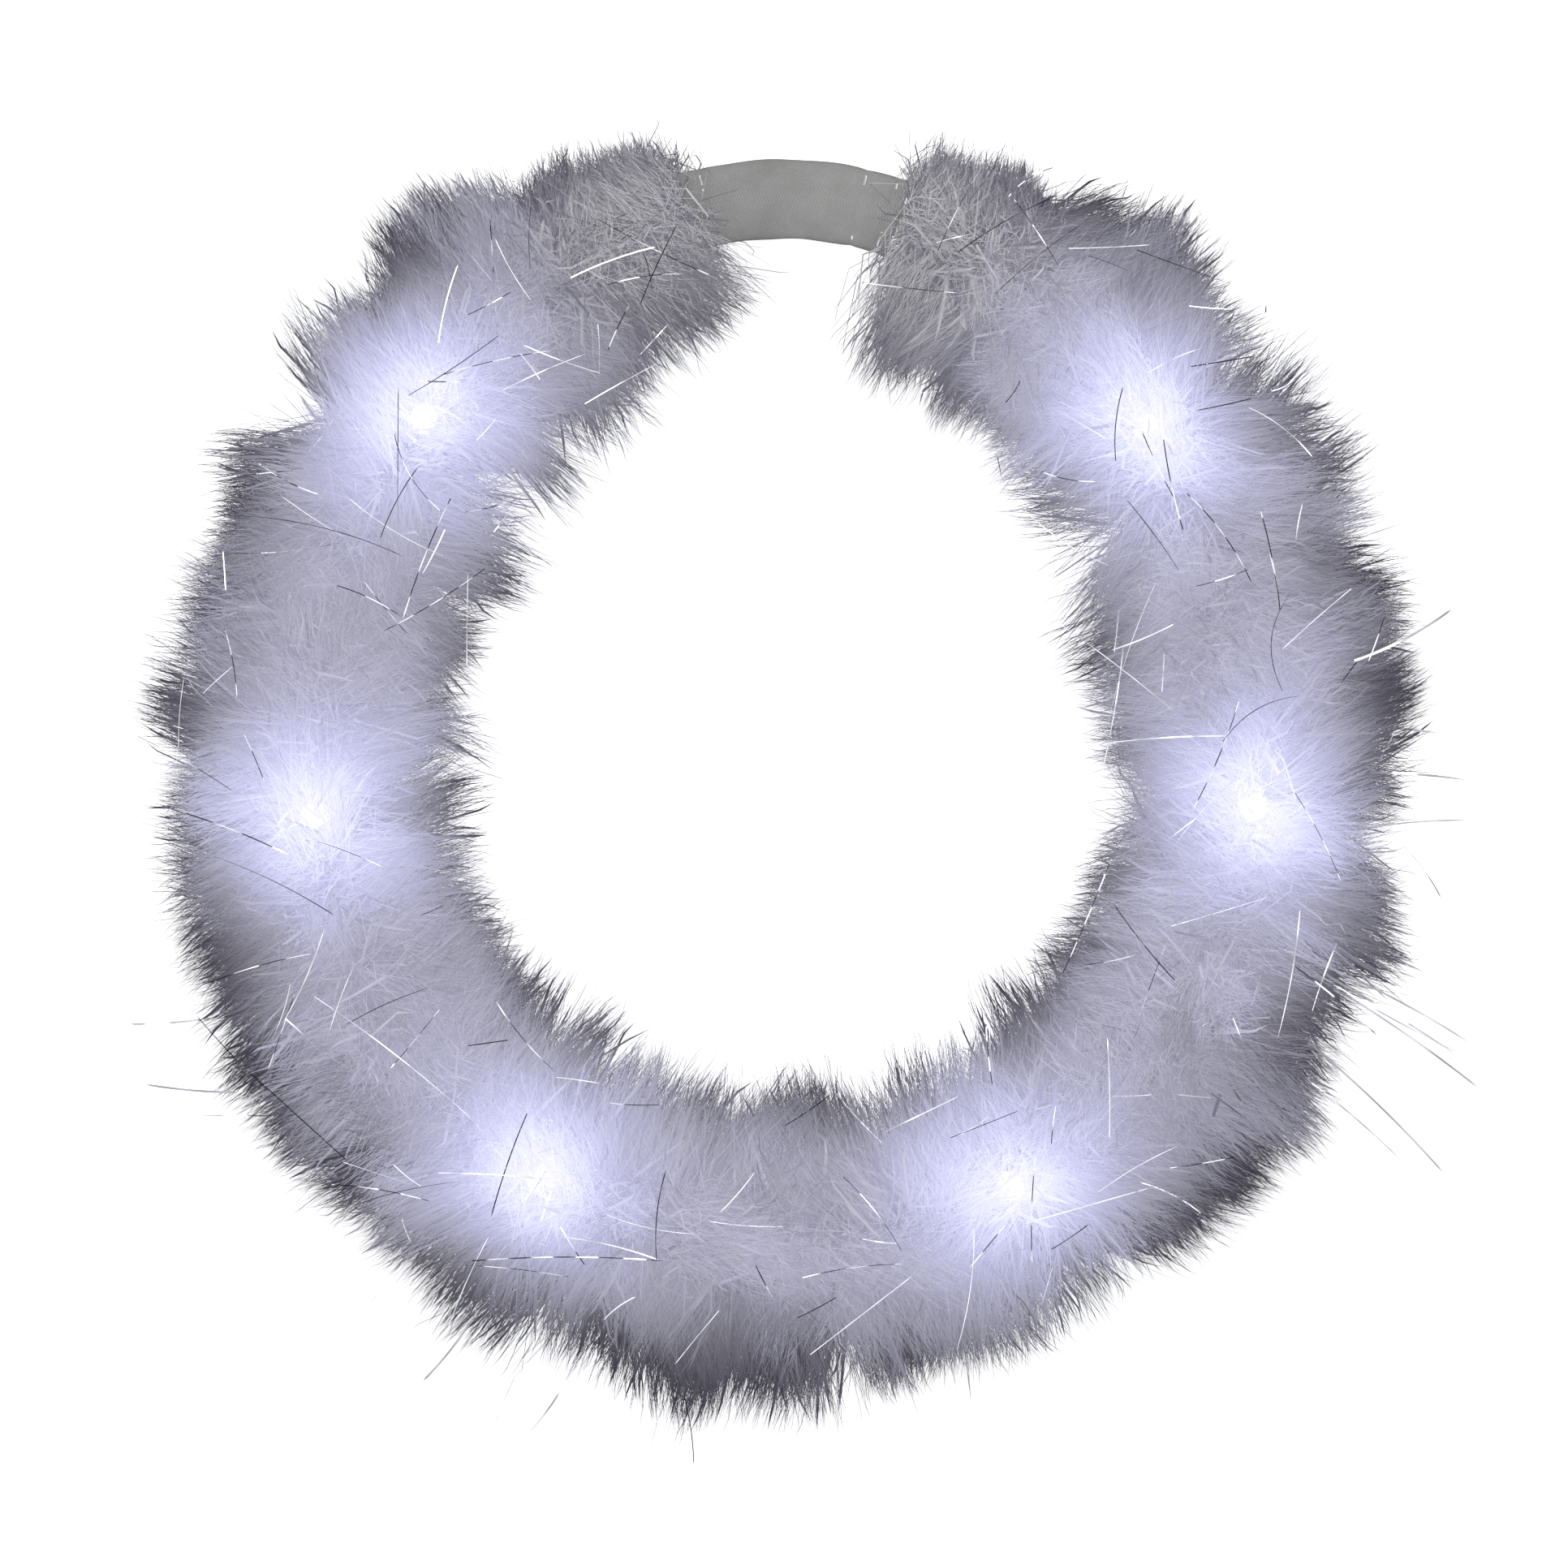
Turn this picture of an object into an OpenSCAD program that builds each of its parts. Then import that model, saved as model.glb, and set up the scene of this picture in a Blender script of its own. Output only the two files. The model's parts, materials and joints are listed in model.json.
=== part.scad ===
// Light-up marabou halo: a loop of feather trimming on a core cord, with six LEDs,
// a button-cell battery case under the core, and an elastic band across the back.
// Origin: middle of the loop, on the core's level. +Y is the back, +Z is up.

/* [Loop] */
// Radius of the core cord round the front half
front_r = 94.5; // [90:0.5:100]
// How far past the middle each upper arc is centred
arc_shift = 30; // [28:1:32]
// Angle where each upper arc meets the back arc
turn_angle = 58; // [57:1:59]
// Angle on the back arc where the core cord ends
end_angle = 69; // [67:1:70]
// Diameter of the core cord
core_d = 4; // [3:0.5:4]
// Angles of the right half's LEDs, negative on the front arc
right_leds = [34, -4, -61];
// Angles of the left half's LEDs, negative on the front arc
left_leds = [35, -5, -59];

/* [Plumes] */
// Radius of the plumes round the core
plume_r = 30; // [28:0.5:32]
// Radius of the plumes over the last stretch of the upper arcs
plume_back_r = 26; // [24:0.5:26]
// Radius of the plumes beside the band
plume_end_r = 20; // [18:0.5:20]
// Radius left round the core for the wires and ties
bore_r = 8.5; // [8.5:0.5:12]
// Angle kept open between the two halves at the front
front_gap_angle = 1.6; // [1.6:0.1:2]

/* [Band] */
// Width of the elastic band
band_w = 16; // [14:0.5:18]
// Thickness of the elastic band
band_t = 2.6; // [2.4:0.1:3]

/* [Lights] */
// Diameter of each LED
led_d = 5; // [4.6:0.1:5]
// Diameter of each insulated wire
wire_d = 1.3; // [1:0.1:1.4]

/* [Battery case] */
// Width of the case, across the core
case_w = 24; // [24:0.5:25]
// Length of the case, along the core
case_l = 37; // [37:0.5:38]
// Diameter of the button cap
cap_d = 5; // [4:0.5:5]

/* [Hidden] */
$fn = 64;
fit = 0.05;                 // gap between pieces that rest on each other
through = 0.5;              // how far a cutting shape runs past a face

arc_r = front_r + arc_shift;
core_r = core_d / 2;
core_end_r = core_r - 0.2;  // the cord is slimmer on the back arc
taper_angle = 45;           // where the plumes start to narrow towards the band
plume_gap_angle = 0.15;     // half the gap between two lengths of plumes

plume_back_lean = 3.5;      // how far the plumes lean into the loop there
plume_end_lean = 5;
end_bore_r = 6;

band_r = arc_r - arc_shift / cos(turn_angle);
band_y = arc_shift * tan(turn_angle);
band_end_angle = end_angle + 1;
tail_angle = 8.5;           // how far round the band each cord tail reaches
tail_w = 7;
tail_t = 1;
stitch = [2, 0.4, 0.3];
stitch_pitch = 2.8;
stitch_rows = [72, 77];
stitches_in_row = 5;

wire_x = 1.25;              // half the spacing of an LED's leads
wire_z = 2.9;
wire_bend_r = 1.5;
wire_top = wire_z + wire_d / 2;
lead_d = 0.5;
led_z = wire_top + 1.05;    // underside of each LED
led_flange_d = led_d + 0.8;
led_flange_h = 1;
led_straight_h = 5.1;       // from the flange to the dome
sleeve_t = 0.45;
sleeve_h = 2.8;
led_room_d = led_flange_d + 2 * sleeve_t + 1;
led_room_h = 14.2;

wrap_pitch_angle = 8;
wrap_w = 1.2;
wrap_r = 3.1;
wrap_z = wrap_r - core_r - fit;
strand_start_angle = -82;   // half way between two thread wraps
strand_pitch_angle = 4;
strand = [5.5, 0.6, 0.15];
strand_rolls = [-28, 12, 168, 208];

case_angle = 48;            // middle of the battery case on the right upper arc
case_top = -6;
wall = 1.2;
lid_t = 1.6;
base_h = 9.4;
lid_z = case_top - base_h;  // joint between base and lid
ceiling = case_top - wall;
lip_h = 1;
lip_gap = 0.2;
cell_d = 20;
cell_h = 3.2;
cell_y = -7;
contact_t = 0.4;
board = [19.2, 8.8, 1];
board_y = 8.6;
board_z = ceiling - 1;      // top of the board
wire_drop_y = 11.2;
wire_drop_x = wire_x + 2 * wire_bend_r;
wire_turn_angle = case_angle + (wire_drop_y - wire_bend_r) / arc_r * 180 / PI;
switch = [4, 6, 3.5];
switch_x = -7.4;
button_z = board_z - board[2] - switch[2] / 2;
button_travel = 0.5;
plunger_d = 3;
flange_d = 6.4;
flange_t = 0.5;
flange_x = -case_w / 2 + wall + fit;
cap_proud = 1.4;
screw_d = 2;
screw_head_d = 3.8;
screw_head_h = 1;
screw_l = 6.9;
screw_y = 15.2;
boss_d = 4.4;
tie_y = [-9, 6];
tie_r = 4;
tie_t = 1;
tie_w = 2.5;
lug = [6.8, 6.4];
lug_top = -core_r - 0.2;
pocket_side = 1.2;          // room round the case, under the plumes
pocket_button = 4.2;        // room on the button's side

// Places children on the core's line, on the front or the upper arc:
// x outward, y towards the back, z up.
module on_path(angle) {
    shift = angle < 0 ? 0 : arc_shift;
    translate([-shift, 0, 0]) rotate([0, 0, angle]) translate([front_r + shift, 0, 0])
        children();
}

// Sweeps a section along the right half's front and upper arcs.
module swept(from, to) {
    if (from < 0)
        mirror([0, 1, 0]) rotate([0, 0, -min(to, 0)])
            rotate_extrude(angle = min(to, 0) - from) translate([front_r, 0]) children();
    if (to > 0)
        translate([-arc_shift, 0, 0]) rotate([0, 0, max(from, 0)])
            rotate_extrude(angle = to - max(from, 0)) translate([arc_r, 0]) children();
}

// Sweeps a section along the back arc, which the band shares.
module round_back(from, to) {
    translate([0, band_y, 0]) rotate([0, 0, from])
        rotate_extrude(angle = to - from) translate([band_r, 0]) children();
}

module left() {
    mirror([1, 0, 0]) children();
}

module in_case() {
    on_path(case_angle) children();
}

module core_cord() {
    color("gainsboro") {
        core_half();
        left() core_half();
    }
}

module core_half() {
    swept(-90, turn_angle) circle(core_r);
    round_back(turn_angle - 1, end_angle) circle(core_end_r);
    round_back(end_angle - 1, end_angle + tail_angle) square([tail_w, tail_t], center = true);
}

// Room for each LED in the plumes on both sides of it.
module led_rooms(leds) {
    for (angle = leds) on_path(angle) cylinder(d = led_room_d, h = led_room_h);
}

module plume_length(from, to, leds) {
    color("lavender") difference() {
        swept(from + plume_gap_angle, to - plume_gap_angle) difference() {
            circle(plume_r);
            circle(bore_r);
        }
        led_rooms(leds);
    }
}

// The plumes from the last LED to the band, narrowing in three steps.
module plume_back(led_angle) {
    from = led_angle + plume_gap_angle;
    difference() {
        union() {
            swept(from, taper_angle) circle(plume_r);
            swept(from, turn_angle) translate([-plume_back_lean, 0]) circle(plume_back_r);
            round_back(turn_angle - 1, end_angle) translate([-plume_end_lean, 0])
                circle(plume_end_r);
        }
        led_rooms([led_angle]);
        swept(led_angle - 1, turn_angle) circle(bore_r);
        round_back(turn_angle - 1, end_angle + 1) circle(end_bore_r);
    }
}

module case_pocket() {
    in_case() translate([-case_w / 2 - pocket_button, -case_l / 2 - pocket_side, -2 * plume_r])
        cube([case_w + pocket_side + pocket_button, case_l + 2 * pocket_side, 2 * plume_r]);
}

module plumes_right_back() {
    color("lavender") difference() {
        plume_back(right_leds[0]);
        case_pocket();
    }
}

module plumes_left_back() {
    color("lavender") left() plume_back(left_leds[0]);
}

// True where nothing else sits on the core: no LED, and on the right no battery case.
function is_free(angle, leds, with_case) =
    min([for (a = leds) abs(angle - a)]) > 3
    && !(with_case && abs(angle - case_angle) < 11);

module tinsel(leds, with_case) {
    last = floor((turn_angle - 1 - strand_start_angle) / strand_pitch_angle);
    color("silver") for (n = [0:last]) {
        angle = strand_start_angle + n * strand_pitch_angle;
        if (is_free(angle, leds, with_case)) on_path(angle)
            rotate([0, strand_rolls[n % 4], 0]) translate([core_r + fit, 0, 0])
                cube(strand);
    }
}

module wire_section(side) {
    translate([side * wire_x, wire_z]) circle(d = wire_d);
}

module quarter_bend() {
    rotate_extrude(angle = 90) translate([wire_bend_r, 0]) circle(d = wire_d);
}

// Places children where a wire goes down into the case.
module at_drop(side) {
    on_path(wire_turn_angle) translate([side * wire_drop_x, wire_bend_r, 0]) children();
}

// One wire: along the core from the last LED, then round and down into the battery case.
module wire(side) {
    led_reach = left_leds[0] + 1;
    left() swept(-90, led_reach) wire_section(side);
    swept(-90, wire_turn_angle) wire_section(side);
    on_path(wire_turn_angle) translate([side * (wire_x + wire_bend_r), 0, wire_z])
        rotate([0, 0, side > 0 ? 90 : 0]) quarter_bend();
    at_drop(side) translate([-side * wire_bend_r, 0, wire_z - wire_bend_r])
        rotate([90, 0, side > 0 ? 0 : 180]) quarter_bend();
    at_drop(side) translate([0, 0, board_z + fit])
        cylinder(d = wire_d, h = wire_z - wire_bend_r - board_z - fit);
}

module wire_positive() {
    color("whitesmoke") wire(1);
}

module wire_negative() {
    color("white") wire(-1);
}

module lead_frame() {
    post_h = 5;
    for (side = [-1, 1]) translate([side * wire_x, 0, wire_top + fit])
        cylinder(d = lead_d, h = led_z + post_h - wire_top - fit);
    translate([-wire_x - 0.3, -0.6, led_z + post_h - 1.4]) cube([1.5, 1.2, 1.4]);
}

module led() {
    color("aliceblue") difference() {
        union() {
            translate([0, 0, led_z]) cylinder(d = led_flange_d, h = led_flange_h);
            translate([0, 0, led_z]) cylinder(d = led_d, h = led_flange_h + led_straight_h);
            translate([0, 0, led_z + led_flange_h + led_straight_h]) sphere(d = led_d);
        }
        lead_frame();
    }
}

module led_leads(leds) {
    color("silver") for (angle = leds) on_path(angle) lead_frame();
}

module led_sleeves(leds) {
    inner_d = led_flange_d + 2 * fit;
    color("white") for (angle = leds) on_path(angle) translate([0, 0, wire_top + 2 * fit])
        difference() {
            cylinder(d = inner_d + 2 * sleeve_t, h = sleeve_h);
            translate([0, 0, -through]) cylinder(d = inner_d, h = sleeve_h + 2 * through);
        }
}

module thread_wraps(leds, with_case) {
    color("white") for (angle = [-84:wrap_pitch_angle:turn_angle - 1])
        if (is_free(angle, leds, with_case)) on_path(angle) translate([0, wrap_w / 2, wrap_z])
            rotate([90, 0, 0]) difference() {
                cylinder(r = wrap_r + 0.4, h = wrap_w);
                translate([0, 0, -through]) cylinder(r = wrap_r, h = wrap_w + 2 * through);
            }
}

module elastic_band() {
    pocket_angle = end_angle + tail_angle + 0.5;
    color("lightgray") difference() {
        round_back(band_end_angle, 180 - band_end_angle)
            square([band_w, band_t], center = true);
        for (side = [0, 1]) mirror([side, 0, 0]) {
            round_back(end_angle, pocket_angle)
                square([tail_w + 1, tail_t + 2 * fit], center = true);
            stitches([stitch[0] + 2 * fit, stitch[1] + 2 * fit, stitch[2] + 4 * fit]);
        }
    }
}

// Stitches pulled into both faces of the band, two rows at each end.
module stitches(size) {
    for (angle = stitch_rows, n = [1:stitches_in_row], side = [-1, 1])
        translate([0, band_y, side * (band_t / 2 - fit - stitch[2] / 2)])
            rotate([0, 0, angle])
                translate([band_r + (n - (stitches_in_row + 1) / 2) * stitch_pitch, 0, 0])
                    cube(size, center = true);
}

module case_lug() {
    difference() {
        translate([-lug[0] / 2, -lug[1] / 2, case_top]) cube([lug[0], lug[1], lug_top - case_top]);
        tie_ring(0.1);
    }
}

module tie_ring(clearance) {
    w = tie_w + 2 * clearance;
    translate([0, w / 2, 0]) rotate([90, 0, 0]) difference() {
        cylinder(r = tie_r + tie_t + clearance, h = w);
        translate([0, 0, -through]) cylinder(r = tie_r - clearance, h = w + 2 * through);
    }
}

module case_base() {
    rib = [1, board[1], ceiling - board_z];
    color("white") difference() {
        in_case() {
            case_shell();
            for (y = tie_y) translate([0, y, 0]) case_lug();
            for (side = [-1, 1])
                translate([side * 8.2 - rib[0] / 2, board_y - rib[1] / 2, board_z + fit])
                    cube(rib - [0, 0, fit]);
            screw_boss();
        }
        for (side = [-1, 1]) at_drop(side) translate([0, 0, ceiling - through])
            cylinder(d = wire_d + 0.3, h = wall + 2 * through);
    }
}

module case_shell() {
    difference() {
        translate([-case_w / 2, -case_l / 2, lid_z]) cube([case_w, case_l, base_h]);
        translate([-case_w / 2 + wall, -case_l / 2 + wall, lid_z - through])
            cube([case_w - 2 * wall, case_l - 2 * wall, base_h - wall + through]);
        translate([-case_w / 2 - through, board_y, button_z]) rotate([0, 90, 0])
            cylinder(d = cap_d + 0.2, h = wall + 2 * through);
    }
}

module screw_boss() {
    h = base_h - wall;
    difference() {
        union() {
            translate([0, screw_y, lid_z]) cylinder(d = boss_d, h = h);
            translate([-boss_d / 2, screw_y, lid_z])
                cube([boss_d, case_l / 2 - wall - screw_y, h]);
        }
        translate([0, screw_y, lid_z - through]) cylinder(d = screw_d + 0.06, h = h);
    }
}

module case_lid() {
    lip_w = case_w - 2 * wall - 2 * lip_gap;
    lip_l = case_l - 2 * wall - 2 * lip_gap;
    lip_t = 0.9;
    color("white") in_case() difference() {
        union() {
            translate([-case_w / 2, -case_l / 2, lid_z - lid_t])
                cube([case_w, case_l, lid_t - fit]);
            translate([-lip_w / 2, -lip_l / 2, lid_z - lid_t / 2])
                cube([lip_w, lip_l, lip_h + lid_t / 2]);
        }
        translate([-lip_w / 2 + lip_t, -lip_l / 2 + lip_t, lid_z - fit])
            cube([lip_w - 2 * lip_t, lip_l - 2 * lip_t, lip_h + through]);
        translate([-boss_d / 2 - 0.4, screw_y - boss_d / 2 - 0.4, lid_z - fit])
            cube([boss_d + 0.8, boss_d + 2, lip_h + through]);
        translate([0, screw_y, lid_z - lid_t - through]) cylinder(d = screw_d + 0.5, h = 4);
        translate([0, screw_y, lid_z - lid_t - through])
            cylinder(d = screw_head_d + 0.4, h = screw_head_h + through + fit);
    }
}

module lid_screw() {
    slot = [2.6, 0.5, 0.5];
    color("silver") in_case() translate([0, screw_y, lid_z - lid_t]) difference() {
        union() {
            cylinder(d = screw_head_d, h = screw_head_h);
            cylinder(d = screw_d, h = screw_l);
        }
        for (turn = [0, 90]) rotate([0, 0, turn])
            translate([-slot[0] / 2, -slot[1] / 2, -0.01]) cube(slot);
    }
}

module case_ties() {
    head = [3, tie_w + 1.2, 2.4];
    color("ghostwhite") in_case() for (y = tie_y) translate([0, y, 0]) {
        tie_ring(0);
        translate([tie_r + tie_t / 2, -head[1] / 2, -head[2] / 2]) cube(head);
    }
}

module cell(top) {
    color("silver") in_case() translate([0, cell_y, top - cell_h]) {
        cylinder(d = cell_d - 1.6, h = cell_h);
        translate([0, 0, 0.35]) cylinder(d = cell_d, h = cell_h - 0.35);
    }
}

module positive_contact() {
    reach = board_y - board[1] / 2 + 1;
    color("goldenrod") in_case() {
        translate([-4, cell_y - 5, ceiling - contact_t - fit])
            cube([8, reach - cell_y + 5, contact_t]);
        translate([-2, reach - 0.6, board_z + fit])
            cube([4, 0.6, ceiling - contact_t / 2 - board_z - 2 * fit]);
    }
}

module negative_contact() {
    strip_y = cell_y + cell_d / 2 + 0.25;
    foot_z = board_z - board[2] - fit - contact_t;
    color("goldenrod") in_case() {
        translate([3, strip_y, lid_z + 0.3]) cube([5, contact_t, foot_z + contact_t - lid_z - 0.3]);
        translate([3, strip_y, foot_z]) cube([5, 2, contact_t]);
    }
}

module contact_spring() {
    plate = [15, 17, 0.2];
    finger = [5, 2.4, 0.2];
    color("goldenrod") in_case() translate([0, cell_y, lid_z]) {
        translate([-plate[0] / 2, -plate[1] / 2, 0]) cube(plate);
        for (turn = [0, 180]) rotate([0, 0, turn]) translate([0, 1.6, plate[2] / 2])
            rotate([0, -10, 0]) cube(finger);
    }
}

module circuit_board() {
    color("darkgreen") in_case()
        translate([-board[0] / 2, board_y - board[1] / 2, board_z - board[2]]) cube(board);
}

module under_board(x, y, size) {
    in_case() translate([x - size[0] / 2, board_y + y - size[1] / 2,
        board_z - board[2] - fit - size[2]]) cube(size);
}

module controller_chip() {
    color("black") under_board(1, 0.4, [4, 5, 1.4]);
}

module resistor() {
    color("dimgray") under_board(6, 1.4, [1.6, 3.2, 0.6]);
}

module switch_body() {
    bore_l = 2;
    color("black") difference() {
        under_board(switch_x, 0, switch);
        in_case() translate([switch_x - switch[0] / 2 - through, board_y, button_z - fit])
            rotate([0, 90, 0]) cylinder(d = plunger_d + 0.1, h = bore_l + through);
    }
}

module along_button(x) {
    in_case() translate([x, board_y, button_z - fit]) rotate([0, 90, 0]) children();
}

module switch_plunger() {
    color("dimgray") along_button(flange_x + flange_t + fit) cylinder(d = plunger_d, h = 1.6);
}

module switch_dome() {
    dome_t = 0.2;
    color("silver") along_button(switch_x - switch[0] / 2 + 2 - dome_t - fit)
        cylinder(d = plunger_d - 0.4, h = dome_t);
}

module button_cap() {
    color("white") {
        along_button(flange_x) cylinder(d = flange_d, h = flange_t);
        along_button(-case_w / 2 - cap_proud) cylinder(d = cap_d, h = cap_proud + wall + 2 * fit);
    }
}

core_cord();
plumes_right_back();
plume_length(right_leds[1], right_leds[0], right_leds);  // plumes_right_upper
plume_length(right_leds[2], right_leds[1], right_leds);  // plumes_right_lower
plume_length(-90 + front_gap_angle, right_leds[2], [right_leds[2]]);  // plumes_right_front
plumes_left_back();
left() plume_length(left_leds[1], left_leds[0], left_leds);  // plumes_left_upper
left() plume_length(left_leds[2], left_leds[1], left_leds);  // plumes_left_lower
left() plume_length(-90 + front_gap_angle, left_leds[2], [left_leds[2]]);  // plumes_left_front
tinsel(right_leds, true);  // tinsel_right
left() tinsel(left_leds, false);  // tinsel_left
wire_positive();
wire_negative();
on_path(right_leds[0]) led();  // led_1
on_path(right_leds[1]) led();  // led_2
on_path(right_leds[2]) led();  // led_3
left() on_path(left_leds[2]) led();  // led_4
left() on_path(left_leds[1]) led();  // led_5
left() on_path(left_leds[0]) led();  // led_6
led_leads(right_leds);  // led_leads_right
left() led_leads(left_leds);  // led_leads_left
led_sleeves(right_leds);  // led_sleeves_right
left() led_sleeves(left_leds);  // led_sleeves_left
thread_wraps(right_leds, true);  // thread_wraps_right
left() thread_wraps(left_leds, false);  // thread_wraps_left
elastic_band();
color("white") stitches(stitch);  // band_stitches_right
color("white") left() stitches(stitch);  // band_stitches_left
case_base();
case_lid();
lid_screw();
case_ties();
cell(ceiling - contact_t - 2 * fit);  // cell_upper
cell(ceiling - contact_t - 3 * fit - cell_h);  // cell_lower
positive_contact();
negative_contact();
contact_spring();
circuit_board();
controller_chip();
resistor();
switch_body();
switch_plunger();
switch_dome();
button_cap();
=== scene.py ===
import json
import math

import bpy
import numpy as np
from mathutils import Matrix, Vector


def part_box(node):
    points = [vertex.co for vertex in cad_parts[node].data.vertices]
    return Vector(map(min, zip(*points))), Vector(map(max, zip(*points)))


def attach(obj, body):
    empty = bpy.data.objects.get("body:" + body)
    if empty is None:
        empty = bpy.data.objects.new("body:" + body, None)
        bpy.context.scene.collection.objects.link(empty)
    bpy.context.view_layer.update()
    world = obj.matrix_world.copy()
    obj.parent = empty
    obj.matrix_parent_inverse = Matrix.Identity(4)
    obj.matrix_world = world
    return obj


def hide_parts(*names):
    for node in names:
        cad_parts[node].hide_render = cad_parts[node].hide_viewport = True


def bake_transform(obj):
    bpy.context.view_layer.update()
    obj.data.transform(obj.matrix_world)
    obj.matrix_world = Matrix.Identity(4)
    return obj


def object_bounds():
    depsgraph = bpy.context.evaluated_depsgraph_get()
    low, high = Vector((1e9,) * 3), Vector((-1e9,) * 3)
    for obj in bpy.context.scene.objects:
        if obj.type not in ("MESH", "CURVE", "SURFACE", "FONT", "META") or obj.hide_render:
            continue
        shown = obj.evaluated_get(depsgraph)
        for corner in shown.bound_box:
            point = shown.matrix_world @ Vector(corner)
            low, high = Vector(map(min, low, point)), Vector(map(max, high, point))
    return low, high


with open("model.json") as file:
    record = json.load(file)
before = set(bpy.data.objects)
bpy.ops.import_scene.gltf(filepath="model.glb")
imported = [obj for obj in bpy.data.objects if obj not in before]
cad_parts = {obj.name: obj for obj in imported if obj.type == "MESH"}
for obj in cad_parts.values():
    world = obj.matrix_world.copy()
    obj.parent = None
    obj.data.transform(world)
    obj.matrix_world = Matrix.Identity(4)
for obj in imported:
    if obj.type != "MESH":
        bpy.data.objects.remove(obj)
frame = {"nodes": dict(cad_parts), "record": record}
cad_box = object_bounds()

# A light-up marabou halo: a loop of feather trimming with tinsel and six lights,
# closed across the back by a knitted elastic band. Metres, +Y back, +Z up.

MM = 0.001

# ---------------------------------------------------------------- the core's line
FRONT_R = 94.5 * MM         # radius of the half circle in front
SHIFT = 30 * MM             # how far past the middle the upper arcs have their centres
ARC_R = FRONT_R + SHIFT     # radius of the upper arcs
TURN = math.radians(58)     # where the upper arcs run into the back arc
END = math.radians(69)      # where the core ends, by the band
BACK_R = ARC_R - SHIFT / math.cos(TURN)
BACK_Y = SHIFT * math.tan(TURN)
# Distances along the line, from the front to the side, to the back arc, and to the end.
S_SIDE = FRONT_R * math.pi / 2
S_TURN = S_SIDE + ARC_R * TURN
S_END = S_TURN + BACK_R * (END - TURN)
FLOOR_Z = float(cad_box[0][2])
UP = np.array([0.0, 0.0, 1.0])
LINE_STEPS = 2401           # points on the line when the nearest one is looked for


def core(s):
    """Point, outward normal and backward tangent of the core's line at distances s from
    the front, positive on the right half and negative on the left."""
    s = np.asarray(s, float)
    a, side = np.abs(s), np.where(s < 0, -1.0, 1.0)
    front, back = a < S_SIDE, a > S_TURN
    turned = np.where(front, a / FRONT_R - math.pi / 2,
                      np.where(back, TURN + (a - S_TURN) / BACK_R, (a - S_SIDE) / ARC_R))
    r = np.where(front, FRONT_R, np.where(back, BACK_R, ARC_R))
    cx = np.where(front | back, 0.0, -SHIFT)
    cy = np.where(back, BACK_Y, 0.0)
    c, n = np.cos(turned), np.sin(turned)
    zero = np.zeros_like(c)
    point = np.stack([(cx + r * c) * side, cy + r * n, zero], -1)
    return point, np.stack([c * side, n, zero], -1), np.stack([-n * side, c, zero], -1)


def station(degrees):
    """Distance from the front to an angle on the front or upper arc."""
    a = math.radians(degrees)
    return FRONT_R * (a + math.pi / 2) if a < 0 else S_SIDE + ARC_R * a


def nearest_station(p):
    line = np.linspace(-S_END, S_END, LINE_STEPS)
    q = core(line)[0]
    d = ((p[:, None, :2] - q[None, :, :2]) ** 2).sum(-1)
    return line[d.argmin(1)]


def unit(v):
    return v / np.maximum(np.linalg.norm(v, axis=-1, keepdims=True), 1e-12)


def smooth(a, b, x):
    """0 up to a, 1 from b, and an even slope between."""
    t = np.clip((x - a) / (b - a), 0, 1)
    return t * t * (3 - 2 * t)


WAVE_PARTS = 5              # sines in one wave
WAVE_LEVEL = 2.2            # what their sum is divided by


def wave(s, seed, pitch):
    """Smooth noise along the loop, about -1 to 1, with features pitch metres long."""
    r = np.random.default_rng(seed)
    total = np.zeros_like(s)
    for k in range(WAVE_PARTS):
        faster, weaker = 0.8 + 0.7 * k, 1 + 0.5 * k
        total += np.sin(s / pitch * faster + r.uniform(0, 2 * math.pi)) / weaker
    return total / WAVE_LEVEL


# ---------------------------------------------------------------- materials
def material(name, base, rough, **sockets):
    m = bpy.data.materials.new(name)
    m.use_nodes = True
    p = m.node_tree.nodes["Principled BSDF"]
    p.inputs["Base Color"].default_value = (*base, 1)
    p.inputs["Roughness"].default_value = rough
    for key, value in sockets.items():
        p.inputs[key.replace("_", " ")].default_value = value
    return m, m.node_tree, p


def node(tree, kind, **values):
    n = tree.nodes.new(kind)
    for key, value in values.items():
        setattr(n, key, value)
    return n


def ramp(tree, source, stops):
    n = tree.nodes.new("ShaderNodeValToRGB")
    e = n.color_ramp.elements
    while len(e) < len(stops):
        e.new(0.5)
    for k, (at, colour) in enumerate(stops):
        e[k].position = at
        e[k].color = (*colour, 1)
    tree.links.new(source, n.inputs["Fac"])
    return n.outputs["Color"]


def coords(tree, scale=(1, 1, 1)):
    c = node(tree, "ShaderNodeTexCoord")
    m = node(tree, "ShaderNodeMapping")
    m.inputs["Scale"].default_value = scale
    tree.links.new(c.outputs["Object"], m.inputs["Vector"])
    return m.outputs["Vector"]


def map_uv(tree, layer):
    """The two coordinates of a piece's own map."""
    uv = node(tree, "ShaderNodeUVMap", uv_map=layer)
    split = node(tree, "ShaderNodeSeparateXYZ")
    tree.links.new(uv.outputs["UV"], split.inputs["Vector"])
    return split.outputs["X"], split.outputs["Y"]


def noise(tree, vector, scale, detail):
    n = tree.nodes.new("ShaderNodeTexNoise")
    n.inputs["Scale"].default_value = scale
    n.inputs["Detail"].default_value = detail
    n.inputs["Roughness"].default_value = 0.55
    tree.links.new(vector, n.inputs["Vector"])
    return n.outputs["Fac"]


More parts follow.
